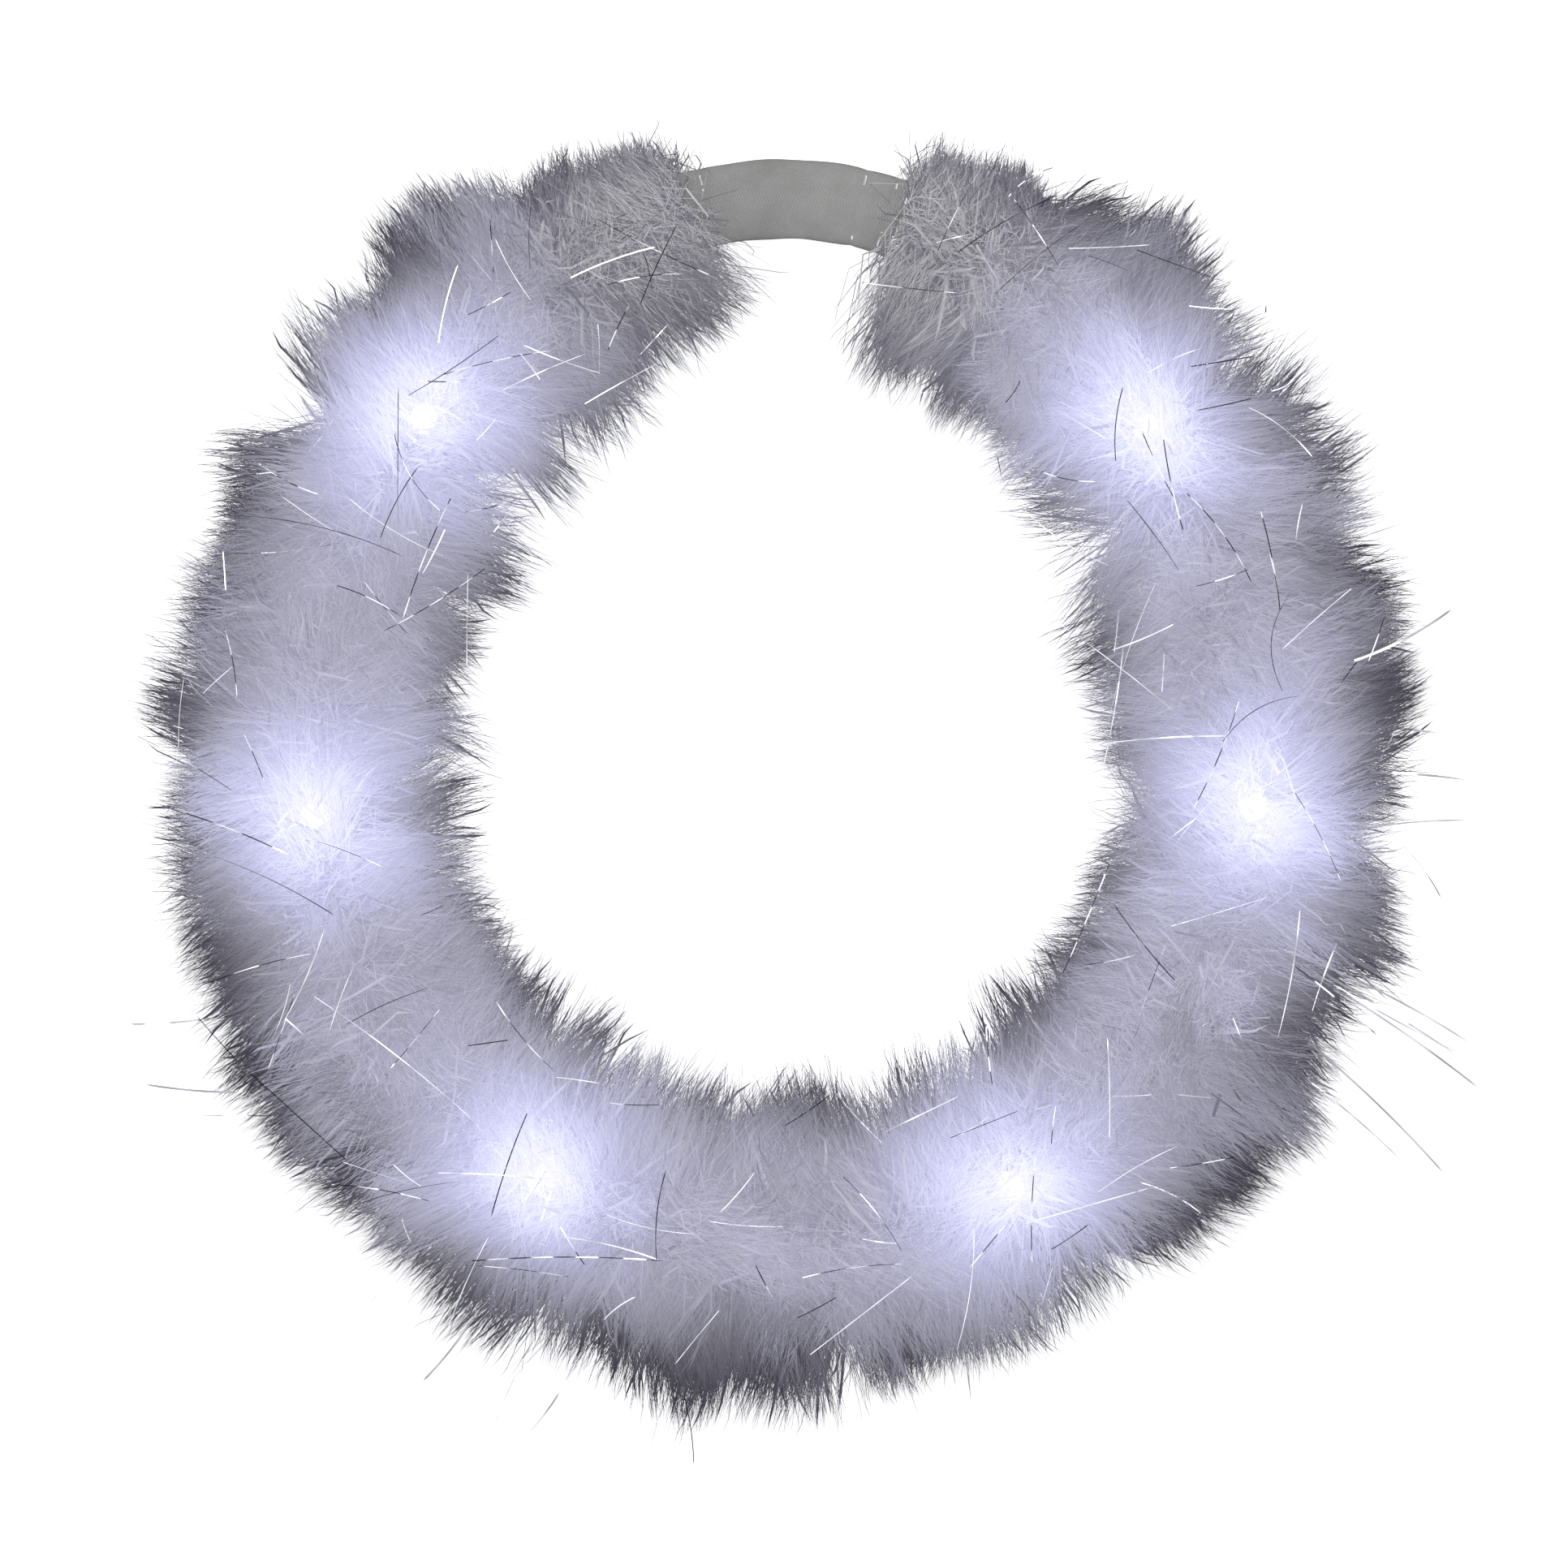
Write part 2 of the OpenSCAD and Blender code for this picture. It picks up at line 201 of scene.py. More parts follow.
def bump(tree, p, height, distance, strength=1.0):
    b = tree.nodes.new("ShaderNodeBump")
    b.inputs["Distance"].default_value = distance
    b.inputs["Strength"].default_value = strength
    tree.links.new(height, b.inputs["Height"])
    tree.links.new(b.outputs["Normal"], p.inputs["Normal"])


BROAD_SCALE = 0.12          # the broad noise's scale against the fine one's
BROAD_SHARE, FINE_SHARE = 0.6, 0.4


def speckled(name, colours, roughs, scale, relief, stretch=(1, 1, 1), **sockets):
    """A moulded, spun or brushed surface: two close colours and two roughnesses in a noise
    with scale features to the metre."""
    m, t, p = material(name, colours[0], roughs[0], **sockets)
    v = coords(t, stretch)
    broad, fine = noise(t, v, scale * BROAD_SCALE, 2), noise(t, v, scale, 4)
    mix = node(t, "ShaderNodeMath", operation="MULTIPLY_ADD")
    t.links.new(broad, mix.inputs[0])
    mix.inputs[1].default_value = BROAD_SHARE
    part = node(t, "ShaderNodeMath", operation="MULTIPLY")
    t.links.new(fine, part.inputs[0])
    part.inputs[1].default_value = FINE_SHARE
    t.links.new(part.outputs[0], mix.inputs[2])
    t.links.new(ramp(t, mix.outputs[0], [(0.35, colours[0]), (0.65, colours[1])]),
                p.inputs["Base Color"])
    t.links.new(ramp(t, fine, [(0.3, (roughs[0],) * 3), (0.7, (roughs[1],) * 3)]),
                p.inputs["Roughness"])
    bump(t, p, fine, relief)
    return m


# The barbs' colour from their darkest to their lightest, whose darker part carries painted
# shade, and the colour of the LEDs' light, painted into the down as emission, from none to
# full. Both are read from the piece's own map.
SHADE_STOPS = [(0.0, (0.05, 0.048, 0.062)), (0.35, (0.15, 0.146, 0.172)),
               (0.7, (0.26, 0.255, 0.29)), (0.88, (0.325, 0.32, 0.355)), (1.0, (0.62, 0.62, 0.61))]
LIGHT_STOPS = [(0.0, (0.02, 0.018, 0.026)), (0.12, (0.095, 0.093, 0.113)),
               (0.25, (0.184, 0.181, 0.228)), (0.45, (0.275, 0.277, 0.40)),
               (0.60, (0.345, 0.35, 0.495)), (0.75, (0.42, 0.43, 0.55)),
               (0.90, (0.47, 0.475, 0.55)), (1.0, (0.50, 0.50, 0.53))]
GLOW_STRENGTH = 1.5


def feather_material():
    """Marabou: its colour, with painted shade, runs along U of the piece's own map, and the
    LEDs' light, painted into the down as emission, runs along V."""
    m, t, p = material("marabou", (0.5, 0.5, 0.55), 0.85, Specular_IOR_Level=0.12)
    u, v = map_uv(t, "OFBake")
    t.links.new(ramp(t, u, SHADE_STOPS), p.inputs["Base Color"])
    t.links.new(ramp(t, v, LIGHT_STOPS), p.inputs["Emission Color"])
    p.inputs["Emission Strength"].default_value = GLOW_STRENGTH
    return m


def tinsel_material():
    """Metallic film with painted reflection: dark or bright colour along U, with the painted flash
    of each twist glowing along V.
    """
    m, t, p = material("tinsel", (0.9, 0.9, 0.92), 0.16, Metallic=1.0)
    u, v = map_uv(t, "OFBake")
    t.links.new(ramp(t, u, [
        (0.0, (0.02, 0.02, 0.025)), (0.45, (0.06, 0.06, 0.07)), (0.55, (0.80, 0.81, 0.85)),
        (1.0, (0.97, 0.97, 1.0))]), p.inputs["Base Color"])
    t.links.new(ramp(t, v, [(0.0, (0.0, 0.0, 0.0)), (1.0, (0.9, 0.9, 1.0))]),
                p.inputs["Emission Color"])
    p.inputs["Emission Strength"].default_value = 0.8
    return m


WALES, COURSES = 44, 78     # round the band, and along it
KNIT_SHARE = 0.24           # how much of the band's colour follows the knit


def elastic_material():
    """Fine warp-knit elastic: wales run along the band, with the crossing yarns between."""
    m, t, p = material("elastic", (0.28, 0.285, 0.28), 0.9, Specular_IOR_Level=0.15)
    u, v = map_uv(t, "UVMap")

    def ripple(source, count):
        a = node(t, "ShaderNodeMath", operation="MULTIPLY")
        t.links.new(source, a.inputs[0])
        a.inputs[1].default_value = count * 2 * math.pi
        b = node(t, "ShaderNodeMath", operation="SINE")
        t.links.new(a.outputs[0], b.inputs[0])
        return b.outputs[0]

    wales, courses = ripple(u, WALES), ripple(v, COURSES)
    knit = node(t, "ShaderNodeMath", operation="MULTIPLY")
    t.links.new(wales, knit.inputs[0])
    t.links.new(courses, knit.inputs[1])
    cloud = noise(t, coords(t), 160, 4)
    tone = node(t, "ShaderNodeMath", operation="MULTIPLY_ADD")
    t.links.new(knit.outputs[0], tone.inputs[0])
    tone.inputs[1].default_value = KNIT_SHARE
    t.links.new(cloud, tone.inputs[2])
    t.links.new(ramp(t, tone.outputs[0], [
        (0.10, (0.285, 0.285, 0.28)), (0.90, (0.405, 0.405, 0.40))]), p.inputs["Base Color"])
    bump(t, p, knit.outputs[0], 0.12 * MM, 0.6)
    return m


def thread_material(name, low, high):
    """Spun cotton, with its twist as a fine wave."""
    m, t, p = material(name, low, 0.85, Specular_IOR_Level=0.2)
    v = coords(t)
    w = t.nodes.new("ShaderNodeTexWave")
    w.inputs["Scale"].default_value = 420
    w.inputs["Distortion"].default_value = 2.5
    t.links.new(v, w.inputs["Vector"])
    t.links.new(ramp(t, w.outputs["Fac"], [(0.1, low), (0.8, high)]), p.inputs["Base Color"])
    bump(t, p, w.outputs["Fac"], 0.15 * MM, 0.7)
    return m


def lit_epoxy():
    """Clear cast epoxy with the lit die's glow through it."""
    m, t, p = material("led_epoxy", (0.9, 0.93, 1.0), 0.12)
    n = noise(t, coords(t), 900, 2)
    t.links.new(ramp(t, n, [(0.3, (0.84, 0.88, 1.0)), (0.7, (0.95, 0.97, 1.0))]),
                p.inputs["Base Color"])
    t.links.new(ramp(t, n, [(0.2, (0.78, 0.82, 1.0)), (0.8, (1.0, 1.0, 1.0))]),
                p.inputs["Emission Color"])
    p.inputs["Emission Strength"].default_value = 1.2
    return m


def board_material():
    """Solder mask over a fine grid of tracks."""
    m, t, p = material("board", (0.03, 0.16, 0.06), 0.35)
    v = coords(t)
    w = t.nodes.new("ShaderNodeTexBrick")
    w.inputs["Scale"].default_value = 260
    w.inputs["Mortar Size"].default_value = 0.035
    w.inputs["Color1"].default_value = (0.025, 0.15, 0.055, 1)
    w.inputs["Color2"].default_value = (0.035, 0.18, 0.065, 1)
    w.inputs["Mortar"].default_value = (0.07, 0.28, 0.11, 1)
    t.links.new(v, w.inputs["Vector"])
    t.links.new(w.outputs["Color"], p.inputs["Base Color"])
    bump(t, p, w.outputs["Fac"], 0.04 * MM, 0.5)
    return m


def grey(level, blue=None):
    return (level, level, level if blue is None else blue)


MATERIALS = {
    "marabou": feather_material(),
    "tinsel": tinsel_material(),
    "elastic": elastic_material(),
    "cord": thread_material("cord", grey(0.52, 0.50), grey(0.82, 0.79)),
    "thread": thread_material("thread", grey(0.55, 0.53), grey(0.88, 0.86)),
    "led_epoxy": lit_epoxy(),
    "board": board_material(),
}
# Colours, roughnesses, features to the metre and relief of the hard parts' surfaces.
PLASTICS = {
    "wire_pvc": ((grey(0.80, 0.77), grey(0.88, 0.86)), (0.35, 0.5), 900, 0.01 * MM),
    "heat_shrink": ((grey(0.74, 0.72), grey(0.86, 0.84)), (0.42, 0.6), 1400, 0.04 * MM),
    "case_plastic": ((grey(0.78, 0.76), grey(0.85, 0.835)), (0.42, 0.56), 2600, 0.02 * MM),
    "nylon": ((grey(0.80, 0.76), grey(0.88, 0.85)), (0.35, 0.5), 1500, 0.01 * MM),
    "chip_black": ((grey(0.015, 0.016), grey(0.03, 0.032)), (0.5, 0.7), 3000, 0.02 * MM),
    "switch_black": ((grey(0.02, 0.022), grey(0.045, 0.05)), (0.35, 0.55), 2400, 0.02 * MM),
    "cap_plastic": ((grey(0.80, 0.785), grey(0.87, 0.86)), (0.14, 0.24), 1200, 0.006 * MM),
}
METALS = {
    "lead_metal": ((grey(0.60), grey(0.78)), (0.25, 0.42), 2500, 0.01 * MM),
    "screw_steel": ((grey(0.42, 0.44), grey(0.62, 0.64)), (0.25, 0.45), 3000, 0.01 * MM),
    "cell_steel": ((grey(0.62, 0.63), grey(0.78, 0.79)), (0.2, 0.34), 1800, 0.006 * MM,
                   (1, 14, 1)),
    "contact_metal": (((0.62, 0.52, 0.30), (0.78, 0.68, 0.42)), (0.25, 0.4), 1600, 0.01 * MM),
}
MATERIALS.update({name: speckled(name, *look) for name, look in PLASTICS.items()})
MATERIALS.update({name: speckled(name, *look, Metallic=1.0) for name, look in METALS.items()})

slots = {p["node"]: p["material_slot"] for p in frame["record"]["subparts"]}
for name, obj in frame["nodes"].items():
    obj.data.materials.clear()
    obj.data.materials.append(MATERIALS[slots[name]])


# ---------------------------------------------------------------- ribbons
def ribbons(name, path, side, width, shade, light, normals=None):
    """One mesh of tapered ribbons. path is (ribbons, points, 3), and its last point is each
    ribbon's tip; side and width are per point but the tip; shade and light are per point."""
    n, k = path.shape[:2]
    k -= 1
    half = side * width[..., None] / 2
    verts = np.empty((n, 2 * k + 1, 3))
    verts[:, 0:2 * k:2] = path[:, :k] - half
    verts[:, 1:2 * k:2] = path[:, :k] + half
    verts[:, 2 * k] = path[:, k]
    quads = np.array([[2 * j, 2 * j + 1, 2 * j + 3, 2 * j + 2] for j in range(k - 1)]).ravel()
    loops = np.concatenate([quads, [2 * k - 2, 2 * k - 1, 2 * k]])
    index = (np.arange(n)[:, None] * (2 * k + 1) + loops).ravel().astype(np.int32)
    sizes = np.tile([4] * (k - 1) + [3], n).astype(np.int32)
    starts = np.concatenate([[0], np.cumsum(sizes)[:-1]]).astype(np.int32)
    mesh = bpy.data.meshes.new(name)
    mesh.vertices.add(n * (2 * k + 1))
    mesh.vertices.foreach_set("co", verts.ravel().astype(np.float32))
    mesh.loops.add(len(index))
    mesh.loops.foreach_set("vertex_index", index)
    mesh.polygons.add(len(sizes))
    mesh.polygons.foreach_set("loop_start", starts)
    mesh.polygons.foreach_set("loop_total", sizes)
    mesh.update(calc_edges=True)
    of_point = np.minimum(np.arange(2 * k + 1) // 2, k)
    uv = np.stack([shade[:, of_point], light[:, of_point]], -1).reshape(-1, 2)
    layer = mesh.uv_layers.new(name="OFBake")
    layer.data.foreach_set("uv", np.clip(uv[index], 0.002, 0.998).ravel().astype(np.float32))
    mesh.polygons.foreach_set("use_smooth", np.ones(len(sizes), bool))
    if normals is not None:
        mesh.normals_split_custom_set_from_vertices(normals[:, of_point].reshape(-1, 3))
    obj = bpy.data.objects.new(name, mesh)
    bpy.context.scene.collection.objects.link(obj)
    return obj


# ---------------------------------------------------------------- lights and places
def middle(name):
    low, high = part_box(name)
    return np.array([(low[i] + high[i]) / 2 for i in range(3)])


LEDS = np.array([middle(f"led_{n}") for n in range(1, 7)])
LED_S = nearest_station(LEDS)
# The LEDs' light in the down is painted in as emission, as a broad glow and a brighter spot over
# each LED.
GLOW_Z = 20 * MM            # height of the brightest down over each LED
GLOW_DROP = 0.55            # how much less it fades up and down than sideways
GLOW_SIZE = 19 * MM         # how far its light carries
GLOW_LEVEL = 0.50
SPOT_SIZE = 9.6 * MM        # the brighter spot right over the LED
SPOT_LEVEL = 0.31
SPOT_EDGE = 1.5
CASE_AT = math.radians(48)  # the battery case's place on the right upper arc
case_p, case_n, case_t = (v[0] for v in core([S_SIDE + ARC_R * CASE_AT]))
# The room that the down leaves for the case: outward, along the loop, and up to its top.
POCKET = np.array([[-16.2, 13.2], [-19.7, 19.7]]) * MM
POCKET_TOP = -3.6 * MM


def glow(p):
    """How brightly the LEDs light the down at points p, from 0 to about 1: light that is painted
    into the down as emission.
    """
    total = np.zeros(p.shape[:-1])
    for led in LEDS:
        d2 = (((p - np.array([led[0], led[1], GLOW_Z])) * (1, 1, GLOW_DROP)) ** 2).sum(-1)
        total += (GLOW_LEVEL * np.exp(-d2 / GLOW_SIZE ** 2)
                  + SPOT_LEVEL * np.exp(-(d2 / SPOT_SIZE ** 2) ** SPOT_EDGE))
    return total


def round_case(p, spare):
    """Moves points that would be in the battery case or the room under it out past the side
    that their barb's tip is nearest."""
    q = p - case_p
    x, y = q @ case_n, q @ case_t
    (x0, x1), (y0, y1) = POCKET
    inside = (x > x0) & (x < x1) & (y > y0) & (y < y1) & (p[..., 2] < POCKET_TOP)
    tip_x, tip_y = x[:, -1], y[:, -1]
    way = np.stack([x0 - tip_x, tip_x - x1, y0 - tip_y, tip_y - y1]).argmax(0)[:, None]
    dx = np.select([way == 0, way == 1], [x0 - spare - x, x1 + spare - x], 0.0) * inside
    dy = np.select([way == 2, way == 3], [y0 - spare - y, y1 + spare - y], 0.0) * inside
    return p + dx[..., None] * case_n + dy[..., None] * case_t


# ---------------------------------------------------------------- how long the plumes are
# Lengths in mm in four directions: round most of the loop, and what is added at the front,
# at the top of the left half, at both ends, and at the left end.
OUTWARD = (33.9, -0.5, -1.0, -16.8, 0.5)
INWARD = (30.8, 1.5, 0.0, 0.5, -3.5)
ABOVE = (31.5, 0.0, 0.0, -6.0, 0.0)
BELOW = (29.0, 0.0, 0.0, -5.0, 0.0)
# Between which distances along the loop, in metres, the front fades out and the other parts
# come in.
FRONT_PART = (0.09, 0.17)
LEFT_TOP_PART = (-0.16, -0.22)
END_PART = (S_TURN - 0.030, S_END - 0.004)
# The plumes' unevenness along the two rims: mean, seed, pitch, depth, and limits.
OUTER_RAG = (1.03, 31, 3.6 * MM, 0.22, -0.13, 0.11)
INNER_RAG = (1.04, 47, 3.1 * MM, 0.24, -0.14, 0.16)
OVER_SHORT = 0.07           # the upper plumes are shorter, so that the lower ones show past
LONGEST = 41 * MM


def rag(s, mean, seed, pitch, depth, low, high):
    return mean + np.clip(depth * wave(s, seed, pitch), low, high)


def reach(s, turn):
    """Length of the plumes at station s, turned by turn from straight outward."""
    a = np.abs(s)
    out, up = np.cos(turn), np.sin(turn)
    front = 1 - smooth(*FRONT_PART, a)
    end = smooth(*END_PART, a)
    left_top = smooth(*LEFT_TOP_PART, s)
    left_end = np.where(s < 0, end, 0)

    def along(row):
        return row[0] + row[1] * front + row[2] * left_top + row[3] * end + row[4] * left_end

    over = 1 - OVER_SHORT * np.sin(turn)
    outward = along(OUTWARD) * rag(s, *OUTER_RAG) * over
    inward = along(INWARD) * rag(s, *INNER_RAG) * over
    r = (np.maximum(out, 0) ** 2 * outward + np.maximum(-out, 0) ** 2 * inward
         + np.maximum(up, 0) ** 2 * along(ABOVE) + np.maximum(-up, 0) ** 2 * along(BELOW))
    return r * MM


# ---------------------------------------------------------------- locks
LOCKS_PER_MM = 1.8
LOCK_SIZE = (1.0, 0.09)     # mean and spread of their length against the rest
LOCK_SIZES = (0.80, 1.20)
LOCK_TONE = (-0.02, 0.12)   # mean and spread of their shade against the rest
LOCK_TONES = (-0.28, 0.26)
LOCK_DRIFT = 0.16           # how far the shade drifts along the loop
LOCK_WAVE = (63, 0.005)     # seed and pitch of that drift
LOCK_SHEAR = 0.012          # how far it differs from one rim to the other, along the loop
# Tufts that stand clear of the rest: station angle, half (1 right, -1 left), turn, length
# against the rest, and shade against the rest, mostly a darkening painted in as shade.
STRAYS = [(18, 1, 180, 1.20, -0.30), (37, -1, 185, 1.12, -0.10), (4, -1, 178, 1.13, -0.34),
          (-3, -1, 179, 1.08, -0.26), (24, -1, 2, 1.13, -0.22), (9, -1, -3, 1.11, -0.20),
          (1, -1, 2, 1.11, -0.16), (-24, -1, -4, 1.11, -0.26), (-38, -1, 3, 1.10, -0.20),
          (-64, -1, -6, 1.12, -0.30), (-76, -1, 0, 1.16, -0.22), (-83, -1, -4, 1.18, -0.22),
          (-58, 1, -4, 1.10, -0.30), (-40, 1, 0, 1.11, -0.30), (-18, 1, 3, 1.10, -0.20),
          (24, 1, 0, 1.12, -0.2), (-42, -1, 182, 1.13, -0.22), (-28, 1, 178, 1.08, -0.26),
          (-54, 1, 181, 1.08, -0.30), (-63, 1, 178, 1.07, -0.26), (-80, -1, 180, 1.10, -0.10),
          (44, -1, 0, 1.10, -0.12), (52, 1, 2, 1.10, -0.10), (2, 1, 0, 1.08, 0.08)]
# Tufts that only paint the rim dark, as shade: station angle, half, and turn.
SHADED = [(9, -1, 176), (0, -1, 177), (-8, -1, 180), (-13, -1, 178), (-18, -1, 180),
          (-36, -1, 180), (-48, 1, 180), (-58, 1, 179), (-69, 1, 178), (-34, 1, 178),
          (22, 1, 178), (28, -1, 178), (-80, -1, 0), (-72, -1, 1), (-88, 1, 0), (-66, 1, 0),
          (-50, 1, 1), (-46, 1, -1), (-34, 1, 0), (-28, 1, 0), (-10, 1, 0), (16, 1, 0),
          (30, 1, 0), (28, -1, 0), (16, -1, 1), (-14, -1, 0), (-30, -1, 2), (-46, -1, 0),
          (-58, -1, 0), (40, -1, 0), (12, 1, 180)]
SHADED_TONE = -0.34


def locks(r, s0, s1):
    """Where the plumes' locks stand: station, turn, length and shade against the rest: a random
    tone, with painted shade for the named tufts.
    """
    count = int((s1 - s0) / MM * LOCKS_PER_MM)
    s = r.uniform(s0, s1, count)
    turn = r.uniform(-math.pi, math.pi, count)
    size = np.clip(r.normal(*LOCK_SIZE, count), *LOCK_SIZES)
    drift = LOCK_DRIFT * wave(s + LOCK_SHEAR * np.cos(turn), *LOCK_WAVE)
    tone = np.clip(r.normal(*LOCK_TONE, count) + drift, *LOCK_TONES)
    named = STRAYS + [place + (1.0, SHADED_TONE) for place in SHADED]
    extra = np.array([(half * station(a), math.radians(t), k, dark)
                      for a, half, t, k, dark in named if s0 <= half * station(a) < s1])
    return (np.append(s, extra[:, 0]), np.append(turn, extra[:, 1]),
            np.append(size, extra[:, 2]), np.append(tone, extra[:, 3]))


# ---------------------------------------------------------------- marabou
TUFT_BARBS = 22
BARBS_PER_MM = 385
OUTER_CROWD = 0.32          # more plumes grow on the outer side, where they have to spread
LOCK_SEED = 1000            # added to a piece's seed for its locks
LOCK_REACH = 24 * MM        # how far from the core a lock's turn counts as distance
LOCK_PULL = (0.60, 0.15)    # mean and spread of how far a tuft bends to its lock's tip
STRAY_PULL = 1.6            # how much further it bends to a lock longer than STRAY_SIZE
STRAY_SIZE = 1.10
MOST_PULL = 0.85
TUFT_LENGTH = (0.99, 0.03)  # mean and spread of a tuft's length against its place's
TUFT_LENGTHS = (0.9, 1.06)
# Scatter of tufts' and locks' axes along the loop, and the shares of it round the core and
# in every direction.
TUFT_JITTER, LOCK_JITTER = 0.17, 0.33
TURN_JITTER, AXIS_JITTER = 0.6, 0.3
# How plumes lean along the loop: away from the nearest LED, combed over the LED itself, in
# smooth drifts, and backwards at the ends.
AWAY, AWAY_FADE, AWAY_FROM = 0.46, 20 * MM, (3 * MM, 14 * MM)
COMB_OVER, COMB_SIZE = 0.34, 7 * MM
DRIFT, DRIFT_WAVE, DRIFT_SHEAR = 0.30, (5, 0.012), 0.004
TURN_DRIFT, TURN_WAVE = 0.22, (9, 0.010)
END_LEAN, END_LEAN_LENGTH = 0.12, 22 * MM

# Barbs are of three kinds: long ones, short downy ones, and broad ones that fill the down.
DOWNY, FILL = 0.50, 0.17    # shares of all barbs; the filling ones are downy too
LONG_SHORTER, LONG_POWER = 0.22, 1.1    # how much shorter than its tuft a long barb may be
DOWNY_LENGTH = (0.58, 0.98)
FILL_LENGTH = (0.42, 0.90)
FINE_WIDTH = (0.12, 0.23)   # mm
FILL_WIDTH = (0.6, 1.1)     # mm
END_FILL = 0.5              # how much narrower the filling barbs are by the band
END_FILL_PART = (S_END - 0.020, S_END - 0.004)
# How far downy and long barbs stand away from their tuft, in mm.
BULGE, SPREAD, CURL = (3.4, 2.8), (4.0, 2.6), (2.4, 2.3)
ROOT_OUT, ROOT_SPREAD = 2.4 * MM, 0.9 * MM
BARB_STEPS = (0, 0.46, 0.88, 1)   # shares of its length where a barb bends
# How the bulge, the spread, the pull and the taper grow along a barb, and how it curls.
BULGE_POWER, SPREAD_POWER, PULL_POWER, TAPER_POWER = 0.9, 1.5, 1.6, 1.5
CURL_TURNS, CURL_START = 1.6, 0.4
TAPER = 0.55
CROWN, CROWN_SINK = 36 * MM, 0.5  # above this height the barbs bend over
FLOOR_GAP = (0.2, 2.2)      # mm that barbs keep from the floor
SPLAY = 0.6                 # how far barbs that meet the floor spread outwards
CASE_GAP = (0.3, 4.5)       # mm that barbs keep from the case's room
# How far a barb's shading follows its own flat side, and how much that varies.
NORMAL_FLAT, NORMAL_SPREAD = 0.16, 0.08

# The parts of the down that the painted shade and painted light go by. The rims come in
# outward and inward of the core, UNDER downward, and ENDS along the loop; FRONT and FORE
# fade out along it.
RIM_OUT, RIM_IN = (4 * MM, 30 * MM), (16 * MM, 36 * MM)
UNDER = (10 * MM, -9 * MM)
ENDS = (S_END - 0.042, S_END - 0.012)
FRONT = (0.05, 0.12)
FORE = (S_SIDE + 0.02, S_SIDE + 0.06)
DEEP, DEEP_UNDER = 0.50, 0.72   # how much the rims count, and what being low down adds
RIM_POWER = 1.5
# Painted shade: the rims and the parts low down are painted darker than the middle, as
# shade. OUT is for the outer rim and IN for the inner one, and the names that end in a part
# of the down are what that part adds.
SHADE, SHADE_CAP = 0.82, 0.88
SHADE_OUT, SHADE_OUT_FRONT = 0.96, 0.12
SHADE_IN, SHADE_IN_FORE = 0.78, 0.20
SHADE_UNDER = 0.16
BARB_SHADE, TUFT_SHADE = 0.05, 0.04
LOCK_SHADE, LOCK_SHADE_RIM = 0.35, 1.5
END_SHADE, END_SHADE_RIM = 0.90, 0.70
# Painted light, given to the down as emission: what the LEDs give it nearby, and an even
# share, standing in for light scattered in the down, that the rims lack.
FILL_LIGHT, FINE_LIGHT = 0.95, 1.04
BARB_LIGHT, TUFT_LIGHT = 0.13, 0.12
EVEN_LIGHT, LEAST_LIGHT = 0.248, 0.04
LIGHT_OUT, LIGHT_OUT_FRONT = 0.84, 0.1
LIGHT_IN, LIGHT_IN_FORE = 0.72, 0.16
LIGHT_UNDER = 0.34
LOCK_LIGHT, LOCK_LIGHT_MIDDLE = 2.4, 0.42
EVEN_SPREAD = (0.88, 1.12)
END_DIM = 0.72              # the lights hardly reach the ends by the band


def plume_axis(r, s, turn, jitter):
    """Which way plumes at station s stand, and their turn after its own drift."""
    _, out, back = core(s)
    gap = s[:, None] - LED_S[None]
    near = np.abs(gap).argmin(1)
    gap = gap[np.arange(len(s)), near]
    away = np.sign(gap) * AWAY * np.exp(-np.abs(gap) / AWAY_FADE) * smooth(*AWAY_FROM, np.abs(gap))
    away *= np.where(s < 0, -1, 1)
    drift = DRIFT * wave(s + DRIFT_SHEAR * np.cos(turn), *DRIFT_WAVE)
    end = smooth(S_END - END_LEAN_LENGTH, S_END, np.abs(s))
    combed = COMB_OVER * np.exp(-(gap / COMB_SIZE) ** 2)
    lean = away + combed + drift + r.normal(0, jitter, len(s)) + END_LEAN * end
    turn = (turn + TURN_DRIFT * wave(s, *TURN_WAVE)
            + r.normal(0, TURN_JITTER * jitter, len(s)))
    d = np.cos(turn)[:, None] * out + np.sin(turn)[:, None] * UP
    scatter = r.normal(0, AXIS_JITTER * jitter, (len(s), 3))
    return unit(d + lean[:, None] * back + scatter), turn


